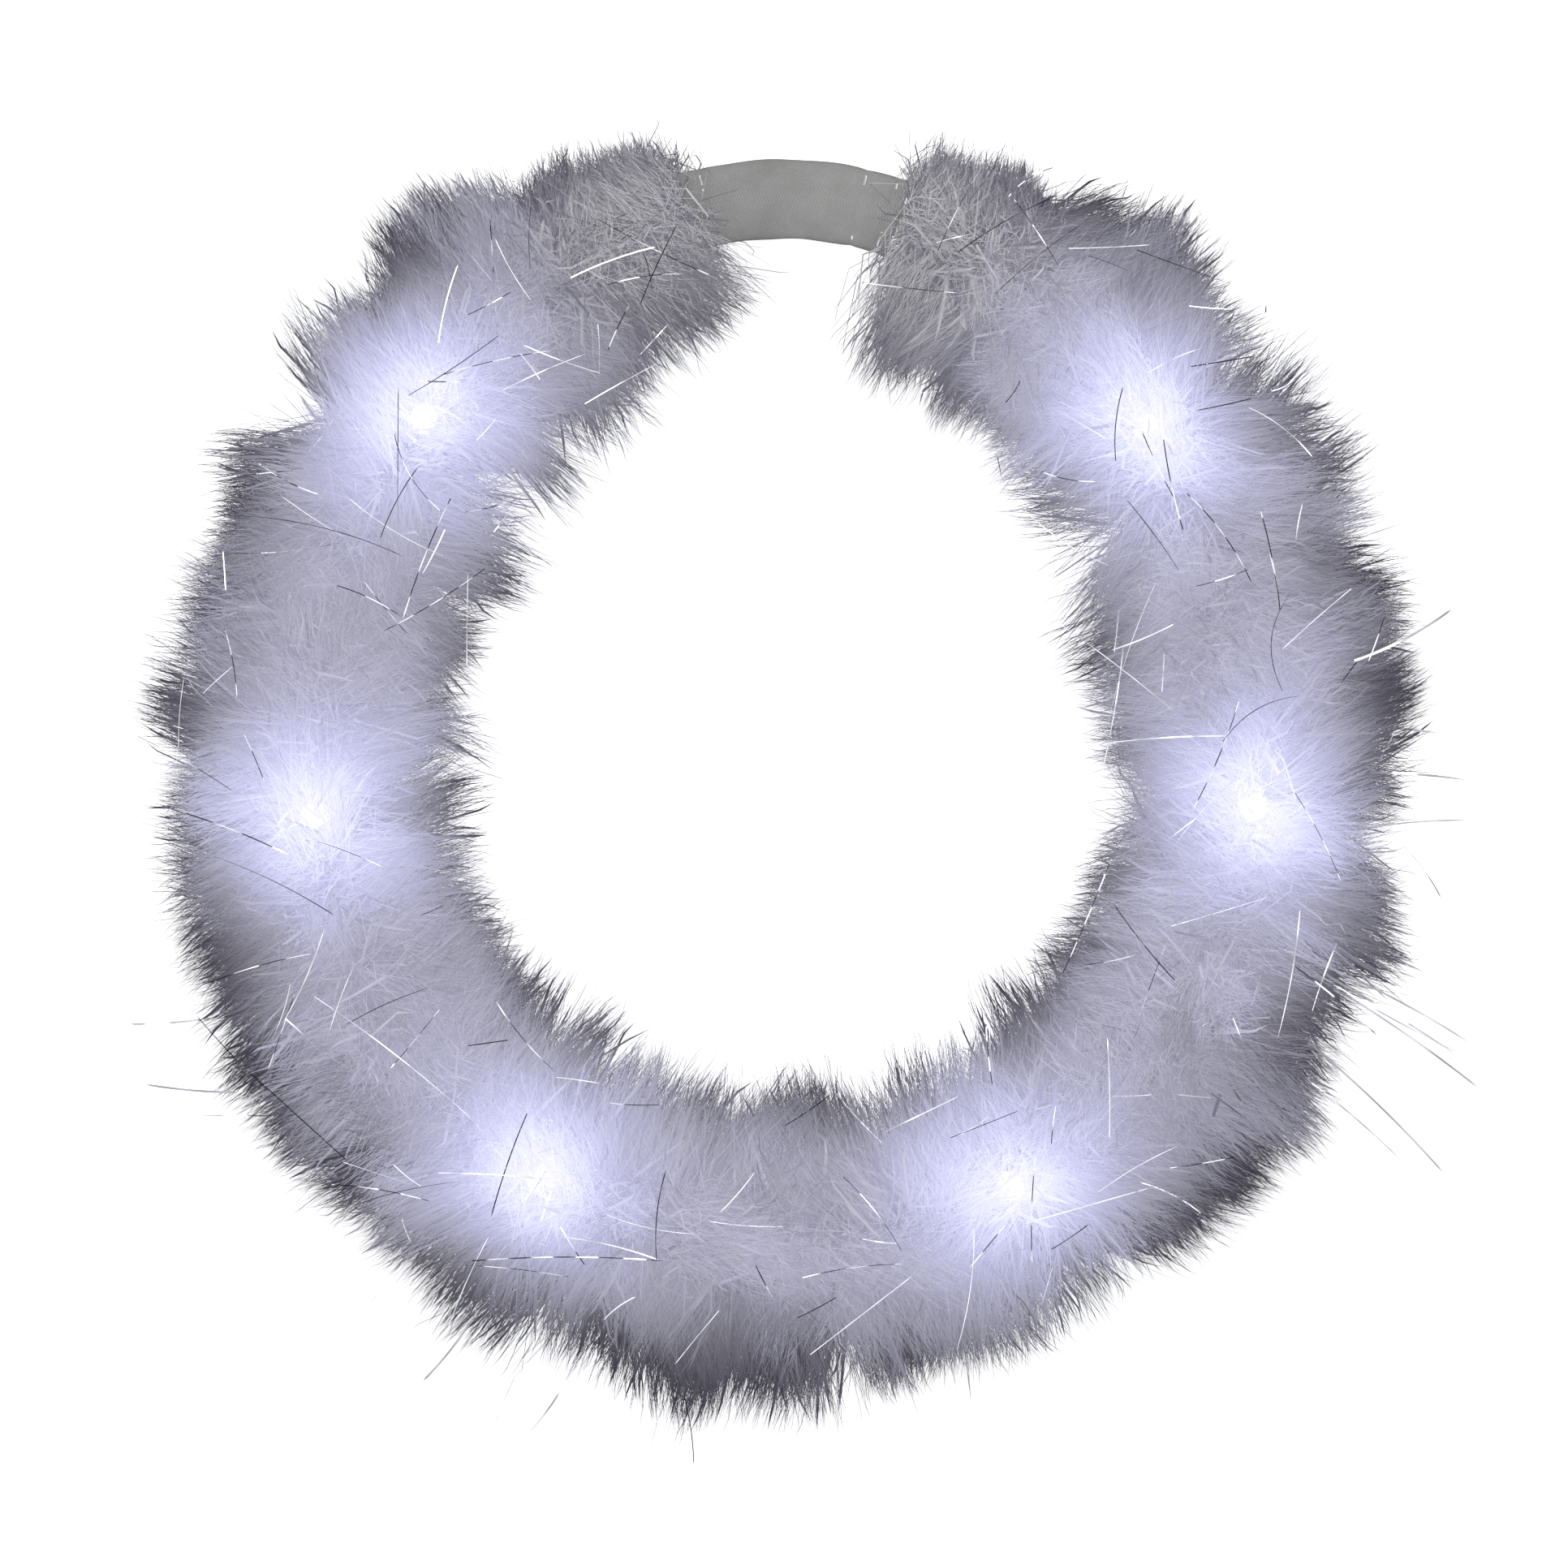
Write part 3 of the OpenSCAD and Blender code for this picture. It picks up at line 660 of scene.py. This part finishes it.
def tufts(r, seed, s0, s1):
    """Station, turn, axis, length, bend towards the lock's tip, and lock shade of each tuft
    between two stations."""
    count = int((s1 - s0) / MM * BARBS_PER_MM / TUFT_BARBS)
    s = r.uniform(s0, s1, count)
    turn = r.uniform(-math.pi, math.pi, count)
    turn -= OUTER_CROWD * np.sin(turn)
    lock_r = np.random.default_rng(seed + LOCK_SEED)
    lock_s, lock_turn, lock_size, lock_tone_and_shade = locks(lock_r, s0, s1)
    off = np.angle(np.exp(1j * (turn[:, None] - lock_turn[None]))) * LOCK_REACH
    lock = (off ** 2 + (s[:, None] - lock_s[None]) ** 2).argmin(1)

    axis, turn = plume_axis(r, s, turn, TUFT_JITTER)
    share = np.clip(r.normal(*TUFT_LENGTH, count), *TUFT_LENGTHS)
    length = np.minimum(reach(s, turn) * share * lock_size[lock], LONGEST)
    lock_axis, lock_turn = plume_axis(lock_r, lock_s, lock_turn, LOCK_JITTER)
    lock_length = np.minimum(reach(lock_s, lock_turn) * lock_size, LONGEST)
    lock_tip = core(lock_s)[0] + lock_axis * lock_length[:, None]
    tip = core(s)[0] + axis * length[:, None]
    further = STRAY_PULL * np.maximum(lock_size[lock] - STRAY_SIZE, 0)
    pull = np.clip(r.normal(*LOCK_PULL, count) + further, 0.0, MOST_PULL)
    return s, turn, axis, length, (lock_tip[lock] - tip) * pull[:, None], lock_tone_and_shade[lock]


def marabou(name, s0, s1, seed):
    """The down of one stretch of the loop, as one mesh of barbs."""
    r = np.random.default_rng(seed)
    s, turn, axis, length, pull, lock_tone_and_shade = tufts(r, seed, s0, s1)
    p, out, _ = core(s)
    count = len(s)
    n = count * TUFT_BARBS
    tuft = np.repeat(np.arange(count), TUFT_BARBS)
    base = p[tuft][:, None]

    # The barbs' shapes.
    kind = r.random(n)
    downy, fill = kind < DOWNY, kind < FILL
    share = np.where(downy, r.uniform(*DOWNY_LENGTH, n),
                     1 - LONG_SHORTER * r.random(n) ** LONG_POWER)
    share = np.where(fill, r.uniform(*FILL_LENGTH, n), share)
    a = axis[tuft]
    across = unit(np.cross(a, r.normal(0, 1, (n, 3))))
    other = np.cross(a, across)
    bulge = np.abs(r.normal(0, 1, n)) * np.where(downy, *BULGE) * MM
    spread = np.abs(r.normal(0, 1, n)) * np.where(downy, *SPREAD) * MM
    curl = r.normal(0, 1, n) * np.where(downy, *CURL) * MM
    root = p[tuft] + a * ROOT_OUT + r.normal(0, ROOT_SPREAD, (n, 3))
    t = np.array(BARB_STEPS)
    span = (length[tuft] * share)[:, None, None] * t[None, :, None]
    sway = (bulge[:, None] * np.sin(math.pi * t ** BULGE_POWER)[None]
            + spread[:, None] * t[None] ** SPREAD_POWER)
    twist = curl[:, None] * np.sin(math.pi * CURL_TURNS * t + CURL_START)[None] * t[None]
    path = (root[:, None] + a[:, None] * span + across[:, None] * sway[..., None]
            + other[:, None] * twist[..., None]
            + (pull[tuft] * share[:, None])[:, None] * (t ** PULL_POWER)[None, :, None])
    path[..., 2] -= CROWN_SINK * np.maximum(path[..., 2] - CROWN, 0)
    # Gravity: the lower plumes splay where the loop rests.
    floor = FLOOR_Z + r.uniform(*FLOOR_GAP, n)[:, None] * MM
    low = np.minimum(path[..., 2] - floor, 0)
    path[..., 2] -= low
    path += (out[tuft][:, None] * np.cos(turn)[tuft][:, None, None]) * (-low * SPLAY)[..., None]
    if s1 > S_SIDE:
        path = round_case(path, r.uniform(*CASE_GAP, n)[:, None] * MM)

    along = unit(np.gradient(path, axis=1))
    side = unit(np.cross(along, r.normal(0, 1, (n, 1, 3))))
    width = np.where(fill, r.uniform(*FILL_WIDTH, n), r.uniform(*FINE_WIDTH, n)) * MM
    thinned = 1 - END_FILL * smooth(*END_FILL_PART, np.abs(s))[tuft]
    width *= np.where(fill, thinned, 1)
    width = width[:, None] * (1 - TAPER * t[None, :-1] ** TAPER_POWER)
    outward = unit(path - base)
    facing = (np.cross(side, along) * outward).sum(-1).mean(1)
    side = side * np.where(facing < 0, -1, 1)[:, None, None]
    normals = unit(outward + NORMAL_FLAT * np.cross(side, along)
                   + r.normal(0, NORMAL_SPREAD, (n, 1, 3)))

    # Where each point lies: towards either rim, low down, at an end, at the front, and
    # anywhere before the back.
    off = ((path - base) * out[tuft][:, None]).sum(-1)
    rim_out, rim_in = smooth(*RIM_OUT, off), smooth(*RIM_IN, -off)
    rim = np.maximum(rim_out, rim_in)
    under = smooth(*UNDER, path[..., 2])
    deep = DEEP + DEEP_UNDER * under
    end = smooth(*ENDS, np.abs(s))[tuft][:, None]
    front = 1 - smooth(*FRONT, np.abs(s))[tuft][:, None]
    fore = 1 - smooth(*FORE, np.abs(s))[tuft][:, None]
    tone = lock_tone_and_shade[tuft][:, None]

    # Painted shade: the colour is darker towards the rims and low down, as shade, and the locks'
    # tone counts most at the rims, where it paints dark tufts.
    shade = (SHADE - (SHADE_OUT + SHADE_OUT_FRONT * front) * rim_out * deep
             - (SHADE_IN + SHADE_IN_FORE * fore) * rim_in * deep
             - SHADE_UNDER * under + r.normal(0, BARB_SHADE, n)[:, None]
             + (TUFT_SHADE * r.normal(0, 1, count))[tuft][:, None]
             + tone * (LOCK_SHADE + LOCK_SHADE_RIM * rim ** RIM_POWER))
    shade = np.minimum(shade, SHADE_CAP)
    # By the band the colour comes up towards its lightest, where the painted light fades, but less
    # at the rims, whose painted shade stays.
    shade += (1.0 - shade) * end * (END_SHADE - END_SHADE_RIM * rim * deep)
    # Painted light, as emission: the LEDs' glow, streaked barb by barb and tuft by tuft, and an
    # even share that the rims, the low parts and the ends lack.
    glint = r.normal(1.0, BARB_LIGHT, n) + r.normal(0, TUFT_LIGHT, count)[tuft]
    lost = ((LIGHT_OUT + LIGHT_OUT_FRONT * front) * rim_out
            + (LIGHT_IN + LIGHT_IN_FORE * fore) * rim_in) * deep
    even = (EVEN_LIGHT * np.maximum(1 - lost, LEAST_LIGHT)
            * (1 - END_DIM * end) * (1 - LIGHT_UNDER * under)
            * (1 + LOCK_LIGHT * tone * (LOCK_LIGHT_MIDDLE + rim ** RIM_POWER))
            * r.uniform(*EVEN_SPREAD, n)[:, None])
    light = np.where(fill, FILL_LIGHT, FINE_LIGHT)[:, None] * (glow(path) * glint[:, None] + even)
    obj = ribbons(name, path, side[:, :-1], width, shade, light, normals)
    obj.data.materials.append(MATERIALS["marabou"])
    return obj


# Each half's down is parted at its LEDs, which stand at these station angles.
LED_AT = {"right": [34, -4, -61], "left": [35, -5, -59]}
# Where the down stops at the band: short of the right end of the core, past the left one.
END_PAST = {"right": -2 * MM, "left": 4 * MM}
DOWN_SEED, FRONT_SEED = 100, 200
for side, sign in (("right", 1), ("left", -1)):
    ends = [S_END + END_PAST[side]] + [station(a) for a in LED_AT[side]]
    for k, part in enumerate(("back", "upper", "lower")):
        a, b = sign * ends[k + 1], sign * ends[k]
        seed = DOWN_SEED + 10 * k + sign
        piece = marabou(f"marabou_{side}_{part}", min(a, b), max(a, b), seed)
        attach(piece, f"{side}_half")
        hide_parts(f"plumes_{side}_{part}")
front = marabou("marabou_front", -station(LED_AT["left"][2]), station(LED_AT["right"][2]),
                FRONT_SEED)
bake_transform(front)
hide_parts("plumes_right_front", "plumes_left_front")


# ---------------------------------------------------------------- tinsel
# The strands that show most: station angle, distance out from the core line, heading in plan
# (0 along +X, 90 towards the band), length, bow, and the tone of their painted reflection
# (1 bright, 0.5 banded, 0.2 grey, 0 dark). Angles are in degrees, lengths in mm, and bows in
# shares of the length.
STRANDS = {
    "right": [
        (-19, 40, -27, 44, 0.03, 0.2), (-20, 42, -31, 46, 0.02, 0.2),
        (-21, 41, -29, 40, -0.02, 0.2), (-22, 40, -34, 42, 0.02, 0.2),
        (-29, 42, -44, 38, 0.02, 0.2), (-31, 40, -41, 30, 0.02, 0.2),
        (0, 38, -5, 22, 0.02, 0.2), (3, 40, -8, 20, 0.02, 0.2), (-4, 40, 4, 24, 0.02, 0.2),
        (10, 32, 28, 22, -0.04, 0.2), (-8, 34, -52, 16, 0.05, 0.5),
        (13, -24, 72, 34, 0.03, 1), (7, -28, 80, 30, -0.02, 1),
        (4, -20, 4, 28, 0.02, 0.8), (16, -30, -36, 44, 0.02, 1), (0, -27, 66, 26, 0.0, 1),
        (12, 5, 84, 20, 0.16, 0), (6, 0, 30, 18, 0.12, 0), (22, 2, -54, 22, 0.05, 0.5),
        (30, -2, 100, 26, 0.03, 0.5), (36, -6, 84, 15, 0.05, 0), (-6, 12, -62, 22, 0.03, 0.5),
        (-22, 24, -40, 22, 0.02, 0.5), (-60, 4, 88, 22, 0.02, 0.5),
        (-78, -6, -52, 19, 0.04, 0.5), (-82, 4, 8, 20, 0.03, 0.5), (-70, 14, 82, 24, -0.04, 1),
        (56, 8, 30, 22, 0.03, 0), (60, 6, 62, 20, 0.02, 0.5), (28, 22, -38, 16, 0.06, 1),
        (-48, 10, 30, 18, 0.03, 1)],
    "left": [
        (22, 6, -14, 34, 0.05, 0), (27, -5, 62, 16, 0.04, 0), (30, -4, 118, 20, 0.10, 0.5),
        (-3, 20, -28, 24, 0.02, 1), (1, 24, -30, 22, 0.02, 0.5), (-6, 14, -22, 22, 0.02, 0.5),
        (-12, 8, -26, 27, 0.03, 0), (-20, 16, 16, 23, 0.03, 0.5), (-23, 8, 66, 20, -0.03, 1),
        (-27, 4, 70, 16, 0.02, 1), (-30, -4, 24, 18, 0.03, 0), (-46, 20, -10, 20, 0.03, 0.5),
        (-48, 16, 12, 19, 0.03, 0), (-66, 10, 0, 38, 0.02, 0.5), (-58, 24, 66, 20, 0.02, 1),
        (-66, 36, 64, 22, 0.02, 1), (-52, 36, 50, 15, 0.03, 0.8), (-74, -4, 84, 18, 0.05, 0),
        (58, -4, 20, 18, 0.03, 1), (60, -10, 8, 15, 0.04, 0.5), (54, 12, 86, 20, 0.04, 0),
        (50, 6, 120, 14, 0.03, 1), (44, 10, 76, 16, 0.03, 0.8), (-32, 34, 0, 15, 0.0, 0.5),
        (48, -14, 160, 16, 0.02, 1), (-36, 0, -38, 40, 0.02, 0.8),
        (-79, 38, -104, 18, 0.04, 0.2), (-82, 38, -82, 14, 0.03, 0),
        (-70, 38, -122, 18, 0.05, 0.2), (-60, 38, -128, 18, 0.03, 0.2),
        (-28, 40, 175, 18, 0.02, 0.2), (-22, 38, 184, 16, 0.02, 0.2)],
}
RANDOM_STRANDS = 70         # on each half, besides the named ones
STRAND_STEPS = 18
STRAND_WIDTH = (0.13, 0.24)
GREY_WIDTH = 2.2            # the grey strands' width against the rest
# Painted light: the grey strands glow evenly at this level, whatever lights them.
GREY_LIGHT = 0.30
RISING = 0.22               # share of the random strands that stand up from the down
RISING_TURNS = (-0.05, 1.05)    # where they grow round the core, in half turns from outward
LYING_TURNS = (0.17, 0.83)
RISING_SLOPE = (0.5, 1.4)
LYING_SLOPE = 0.15
RISING_SINK = 0.42          # share of a rising strand that stays in the down
STRAND_LEAST, STRAND_MORE, STRAND_POWER = 7, 22, 1.6    # lengths in mm
STRAND_DEPTH = (0.88, 1.06)     # shares of the plumes' length at which their middles lie
STRAND_BOW = 0.025
BRIGHT_SHARE, BANDED_SHARE = 0.5, 0.6   # the second is of the strands that aren't bright
NAMED_SLOPE = 0.06
STRAND_TILT, STRAND_TWIST = 0.35, 0.9   # spreads, in radians
FLASH_RATE, FLASH_START = (0.3, 0.9), (0, 6)    # radians to the mm, and radians
# Painted reflection: mean and swing of the colour of bright, banded, grey and dark strands along
# their twists. The FLASH_ numbers paint a glint as emission where the colour passes FLASH_FROM.
BRIGHT, BANDED, GREY, DARK = (0.78, 0.22), (0.45, 0.75), (0.50, 0.02), (0.12, 0.25)
REFLECTION_LEVELS = (0.7, 0.3, 0.1)   # a strand with a higher tone is bright, banded or grey
FLASH_LIGHT, FLASH_FROM, FLASH_MOST = 0.9, 0.40, 0.55
# The down's glow is painted into the strands as a reflection.
DOWN_LIGHT = 0.2            # share of the down's glow that a strand mirrors
PLUME_R = 36 * MM           # rounding of the down that the named strands lie over
STRAND_LIFT = 5.0 * MM      # how far over it they lie
FARTHEST = 139.5 * MM       # no strand goes further out or back than this
HIGHEST = 40 * MM


def tinsel(name, sign, seed, chosen):
    """Metallic film strands that come out through the down, nearly straight, with a painted
    reflection that flashes bright or dark as they twist."""
    r = np.random.default_rng(seed)
    count = RANDOM_STRANDS
    s = sign * r.uniform(0.002, S_END - 0.004, count)
    p, out, _ = core(s)
    rising = r.random(count) < RISING
    turn = math.pi * np.where(rising, r.uniform(*RISING_TURNS, count),
                              r.uniform(*LYING_TURNS, count))
    d = np.cos(turn)[:, None] * out + np.sin(turn)[:, None] * UP
    length = (STRAND_LEAST + STRAND_MORE * r.random(count) ** STRAND_POWER) * MM
    rise = np.where(rising, r.uniform(*RISING_SLOPE, count), r.normal(0, LYING_SLOPE, count))
    heading = unit(unit(np.cross(d, r.normal(0, 1, (count, 3)))) + rise[:, None] * d)
    away = reach(s, turn) * r.uniform(*STRAND_DEPTH, count) - length * RISING_SINK * rising
    start = p + d * away[:, None]
    bow = r.normal(0, STRAND_BOW, count)
    tone = np.select([r.random(count) < BRIGHT_SHARE, r.random(count) < BANDED_SHARE],
                     [1.0, 0.5], 0.0)

    at, aside, plan, long, own_bow, own_tone = np.array(chosen, float).T
    own = sign * np.array([station(a) for a in at])
    own_p, own_out, _ = core(own)
    plan = np.radians(plan)
    fall = np.sqrt(np.clip(1 - (aside * MM / PLUME_R) ** 2, 0.02, 1))
    high = reach(own, np.full(len(own), math.pi / 2)) * fall + STRAND_LIFT
    slope = r.normal(0, NAMED_SLOPE, len(own))
    own_heading = np.stack([np.cos(plan), np.sin(plan), slope], -1)
    own_start = own_p + own_out * (aside * MM)[:, None] + UP * high[:, None]
    d = np.concatenate([d, np.tile(UP, (len(own), 1))])
    length = np.append(length, long * MM)
    heading = np.concatenate([heading, own_heading])
    start = np.concatenate([start, own_start])
    bow, tone = np.append(bow, own_bow), np.append(tone, own_tone)
    n = len(length)

    bend = unit(np.cross(heading, d)) * (bow * length)[:, None]
    t = np.linspace(-0.5, 0.5, STRAND_STEPS + 1)
    path = (start[:, None] + heading[:, None] * (length[:, None, None] * t[None, :, None])
            + bend[:, None] * (4 * t ** 2)[None, :, None])
    past = path[..., :2] - np.clip(path[..., :2], -FARTHEST, FARTHEST)
    path[..., :2] -= (past.max(1) + past.min(1))[:, None]
    path[..., 2] = np.clip(path[..., 2], FLOOR_Z + 1 * MM, HIGHEST)
    along = unit(np.gradient(path, axis=1))
    first = unit(np.cross(along, UP + r.normal(0, 0.3, (n, 1, 3))))
    second = np.cross(along, first)
    angle = r.normal(0, STRAND_TILT, n)[:, None] + r.normal(0, STRAND_TWIST, n)[:, None] * t[None]
    side = first * np.cos(angle)[..., None] + second * np.sin(angle)[..., None]
    width = np.repeat((r.uniform(*STRAND_WIDTH, n) * MM)[:, None], STRAND_STEPS, 1)

    # The painted reflection: the colour flashes bright or dark along each twist, and its bright
    # parts and the down's glow are painted in as emission.
    flash = np.sin((t[None] * length[:, None] / MM) * r.uniform(*FLASH_RATE, n)[:, None]
                   + r.uniform(*FLASH_START, n)[:, None])
    bright, banded, grey_or_more = (tone[:, None] > least for least in REFLECTION_LEVELS)
    reflection_looks = [mean + swing * flash for mean, swing in (BRIGHT, BANDED, GREY, DARK)]
    shade = np.clip(np.select([bright, banded, grey_or_more], reflection_looks[:3], reflection_looks[3]), 0, 1)
    light = (np.clip(FLASH_LIGHT * (shade - FLASH_FROM), 0, FLASH_MOST)
             + DOWN_LIGHT * glow(path) * shade)
    greyish = grey_or_more & ~banded
    light = np.where(greyish, GREY_LIGHT, light)
    width *= np.where(greyish, GREY_WIDTH, 1)
    obj = ribbons(name, path, side[:, :-1], width, shade, light)
    obj.data.materials.append(MATERIALS["tinsel"])
    return obj


for side, sign, seed in (("right", 1, 301), ("left", -1, 302)):
    piece = tinsel(f"tinsel_strands_{side}", sign, seed, STRANDS[side])
    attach(piece, f"{side}_half")
    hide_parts(f"tinsel_{side}")


# ---------------------------------------------------------------- the elastic band
BAND_RINGS, BAND_POINTS = 150, 56
BAND_HALF_WIDTH = 8.0 * MM
BAND_HALF_THICK = 1.62 * MM
BAND_CORNERS = 0.80, 0.72   # powers that square the oval section off
BAND_OVERLAP = math.radians(1)
STITCH_ROWS = (72, 77)      # degrees, counted as the core's turn is
STITCH_SIZE = 0.014         # radians
PINCH_WIDTH, PINCH_THICK = 0.02, 0.16
RIB, RIBS, RIB_FROM = 0.035, 9, 0.3     # ribs on the two faces, not round the edges
# Slow waves along the band, as size and rate: its width, its thickness and its twist.
WAVY_WIDTH, WAVY_THICK, TWIST = (0.012, 31), (0.05, 23), (0.25 * MM, 17)


def sweep(name, centres, across, lift, profile):
    """A closed tube: profile (rings, points, 2) set square to the line at each centre."""
    k, m = profile.shape[:2]
    verts = centres[:, None] + across[:, None] * profile[..., :1] + lift * profile[..., 1:]
    faces = [(i * m + j, i * m + (j + 1) % m, (i + 1) * m + (j + 1) % m, (i + 1) * m + j)
             for i in range(k - 1) for j in range(m)]
    faces += [tuple(range(m))[::-1], tuple((k - 1) * m + j for j in range(m))]
    mesh = bpy.data.meshes.new(name)
    mesh.from_pydata(verts.reshape(-1, 3).tolist(), [], faces)
    layer = mesh.uv_layers.new(name="UVMap")
    for f in mesh.polygons:
        f.use_smooth = True
        closing = f.index < (k - 1) * m and f.index % m == m - 1
        for li in f.loop_indices:
            ring, at = divmod(mesh.loops[li].vertex_index, m)
            layer.data[li].uv = (1.0 if closing and at == 0 else at / m, ring / (k - 1))
    obj = bpy.data.objects.new(name, mesh)
    bpy.context.scene.collection.objects.link(obj)
    return obj


def elastic_band():
    """The knitted band: a flattened tube, crowned, fuller between its sewn ends and pinched
    along each stitched row."""
    half = math.radians(90) - (END + BAND_OVERLAP)
    a = np.linspace(-half, half, BAND_RINGS)
    centre = np.stack([np.sin(-a) * BACK_R, BACK_Y + np.cos(a) * BACK_R, 0 * a], -1)
    across = np.stack([np.sin(-a), np.cos(a), 0 * a], -1)
    q = np.linspace(0, 2 * math.pi, BAND_POINTS, endpoint=False)
    x, z = np.cos(q), np.sin(q)
    x = np.sign(x) * np.abs(x) ** BAND_CORNERS[0]
    z = np.sign(z) * np.abs(z) ** BAND_CORNERS[1]
    ribs = 1 + RIB * np.cos(x * RIBS * math.pi) * (np.abs(z) > RIB_FROM)
    profile = np.empty((BAND_RINGS, BAND_POINTS, 2))
    for i, at in enumerate(a):
        pinch = sum(math.exp(-((abs(at) - math.radians(90 - row)) / STITCH_SIZE) ** 2)
                    for row in STITCH_ROWS)
        wide = 1 + WAVY_WIDTH[0] * math.sin(at * WAVY_WIDTH[1]) - PINCH_WIDTH * pinch
        full = 1 - PINCH_THICK * pinch + WAVY_THICK[0] * math.sin(at * WAVY_THICK[1] + 1)
        profile[i, :, 0] = x * (BAND_HALF_WIDTH * wide)
        profile[i, :, 1] = (z * (BAND_HALF_THICK * full) * ribs
                            + TWIST[0] * np.cos(at * TWIST[1]) * x)
    band = sweep("band_knit", centre, across, UP, profile)
    band.data.materials.append(MATERIALS["elastic"])
    return band


band = elastic_band()
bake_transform(band)
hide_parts("elastic_band")

# ---------------------------------------------------------------- cord and wires
# They run from one half to the other, so, like the front of the down, they are copied whole and
# tied to neither half.
for name in ("core_cord", "wire_positive", "wire_negative"):
    copy = bpy.data.objects.new(f"{name}_bends", frame["nodes"][name].data.copy())
    bpy.context.scene.collection.objects.link(copy)
    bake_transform(copy)
    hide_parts(name)

# ---------------------------------------------------------------- floor, lights, camera
# A round paper floor that turns up into a wall far behind the loop, so low views end in the
# same white.
STUDIO_R, STUDIO_H = 6.0, 5.0
STUDIO_STEPS = 48
PAPER_GLOW = 0.70
around = [2 * math.pi * k / STUDIO_STEPS for k in range(STUDIO_STEPS)]
rings = [(STUDIO_R - 1.0, FLOOR_Z), (STUDIO_R - 0.3, FLOOR_Z + 0.3),
         (STUDIO_R, FLOOR_Z + 1.0), (STUDIO_R, STUDIO_H)]
studio_verts = [(r * math.cos(a), r * math.sin(a), z) for r, z in rings for a in around]
studio_faces = [tuple(range(STUDIO_STEPS))]
for k in range(len(rings) - 1):
    low, high = k * STUDIO_STEPS, (k + 1) * STUDIO_STEPS
    for j in range(STUDIO_STEPS):
        following = (j + 1) % STUDIO_STEPS
        studio_faces.append((low + j, high + j, high + following, low + following))
paper, _, paper_p = material("floor_paper", (0.92, 0.92, 0.92), 0.9)
paper_p.inputs["Emission Color"].default_value = (1, 1, 1, 1)
paper_p.inputs["Emission Strength"].default_value = PAPER_GLOW


def stage_piece(name, faces):
    mesh = bpy.data.meshes.new(name)
    used = sorted({v for f in faces for v in f})
    mesh.from_pydata([studio_verts[v] for v in used], [],
                     [tuple(used.index(v) for v in f) for f in faces])
    mesh.materials.append(paper)
    obj = bpy.data.objects.new(name, mesh)
    bpy.context.scene.collection.objects.link(obj)
    obj.visible_diffuse = False
    return obj


stage_piece("floor", studio_faces[:1])
stage_piece("backdrop", studio_faces[1:]).visible_shadow = False

# A pale sky, darker below the horizon.
world = bpy.data.worlds.new("studio")
bpy.context.scene.world = world
world.use_nodes = True
sky = world.node_tree
aim = sky.nodes.new("ShaderNodeTexCoord")
height = sky.nodes.new("ShaderNodeSeparateXYZ")
sky.links.new(aim.outputs["Generated"], height.inputs["Vector"])
level = node(sky, "ShaderNodeMath", operation="MULTIPLY_ADD")
sky.links.new(height.outputs["Z"], level.inputs[0])
level.inputs[1].default_value = 0.5
level.inputs[2].default_value = 0.5
sky.links.new(ramp(sky, level.outputs[0], [(0.0, (0.12, 0.12, 0.13)), (0.46, (0.22, 0.22, 0.23)),
                                           (0.54, (0.40, 0.40, 0.41)), (1.0, (0.62, 0.62, 0.62))]),
              sky.nodes["Background"].inputs["Color"])
sky.nodes["Background"].inputs["Strength"].default_value = 0.9


def softbox(name, at, size, power):
    """A square lamp that faces the loop's middle."""
    data = bpy.data.lights.new(name, "AREA")
    data.shape = "SQUARE"
    data.size = size
    data.energy = power
    lamp = bpy.data.objects.new(name, data)
    lamp.location = at
    lamp.rotation_euler = (-Vector(at)).to_track_quat("-Z", "Y").to_euler()
    bpy.context.scene.collection.objects.link(lamp)


softbox("softbox_top", (0.1, 0.5, 1.6), 1.4, 14)
softbox("softbox_side", (-1.3, -0.4, 1.1), 0.9, 4)

# Straight down, from far enough away that the loop looks flat.
VIEW_WIDTH = 0.3155
CAMERA_HEIGHT = 2.2
SENSOR = 36
camera_data = bpy.data.cameras.new("camera")
camera_data.sensor_width = SENSOR
camera_data.lens = SENSOR * CAMERA_HEIGHT / VIEW_WIDTH
camera = bpy.data.objects.new("camera", camera_data)
camera.location = (0.0002, -0.0018, CAMERA_HEIGHT)
bpy.context.scene.collection.objects.link(camera)
bpy.context.scene.camera = camera
bpy.context.scene.view_settings.view_transform = "Standard"
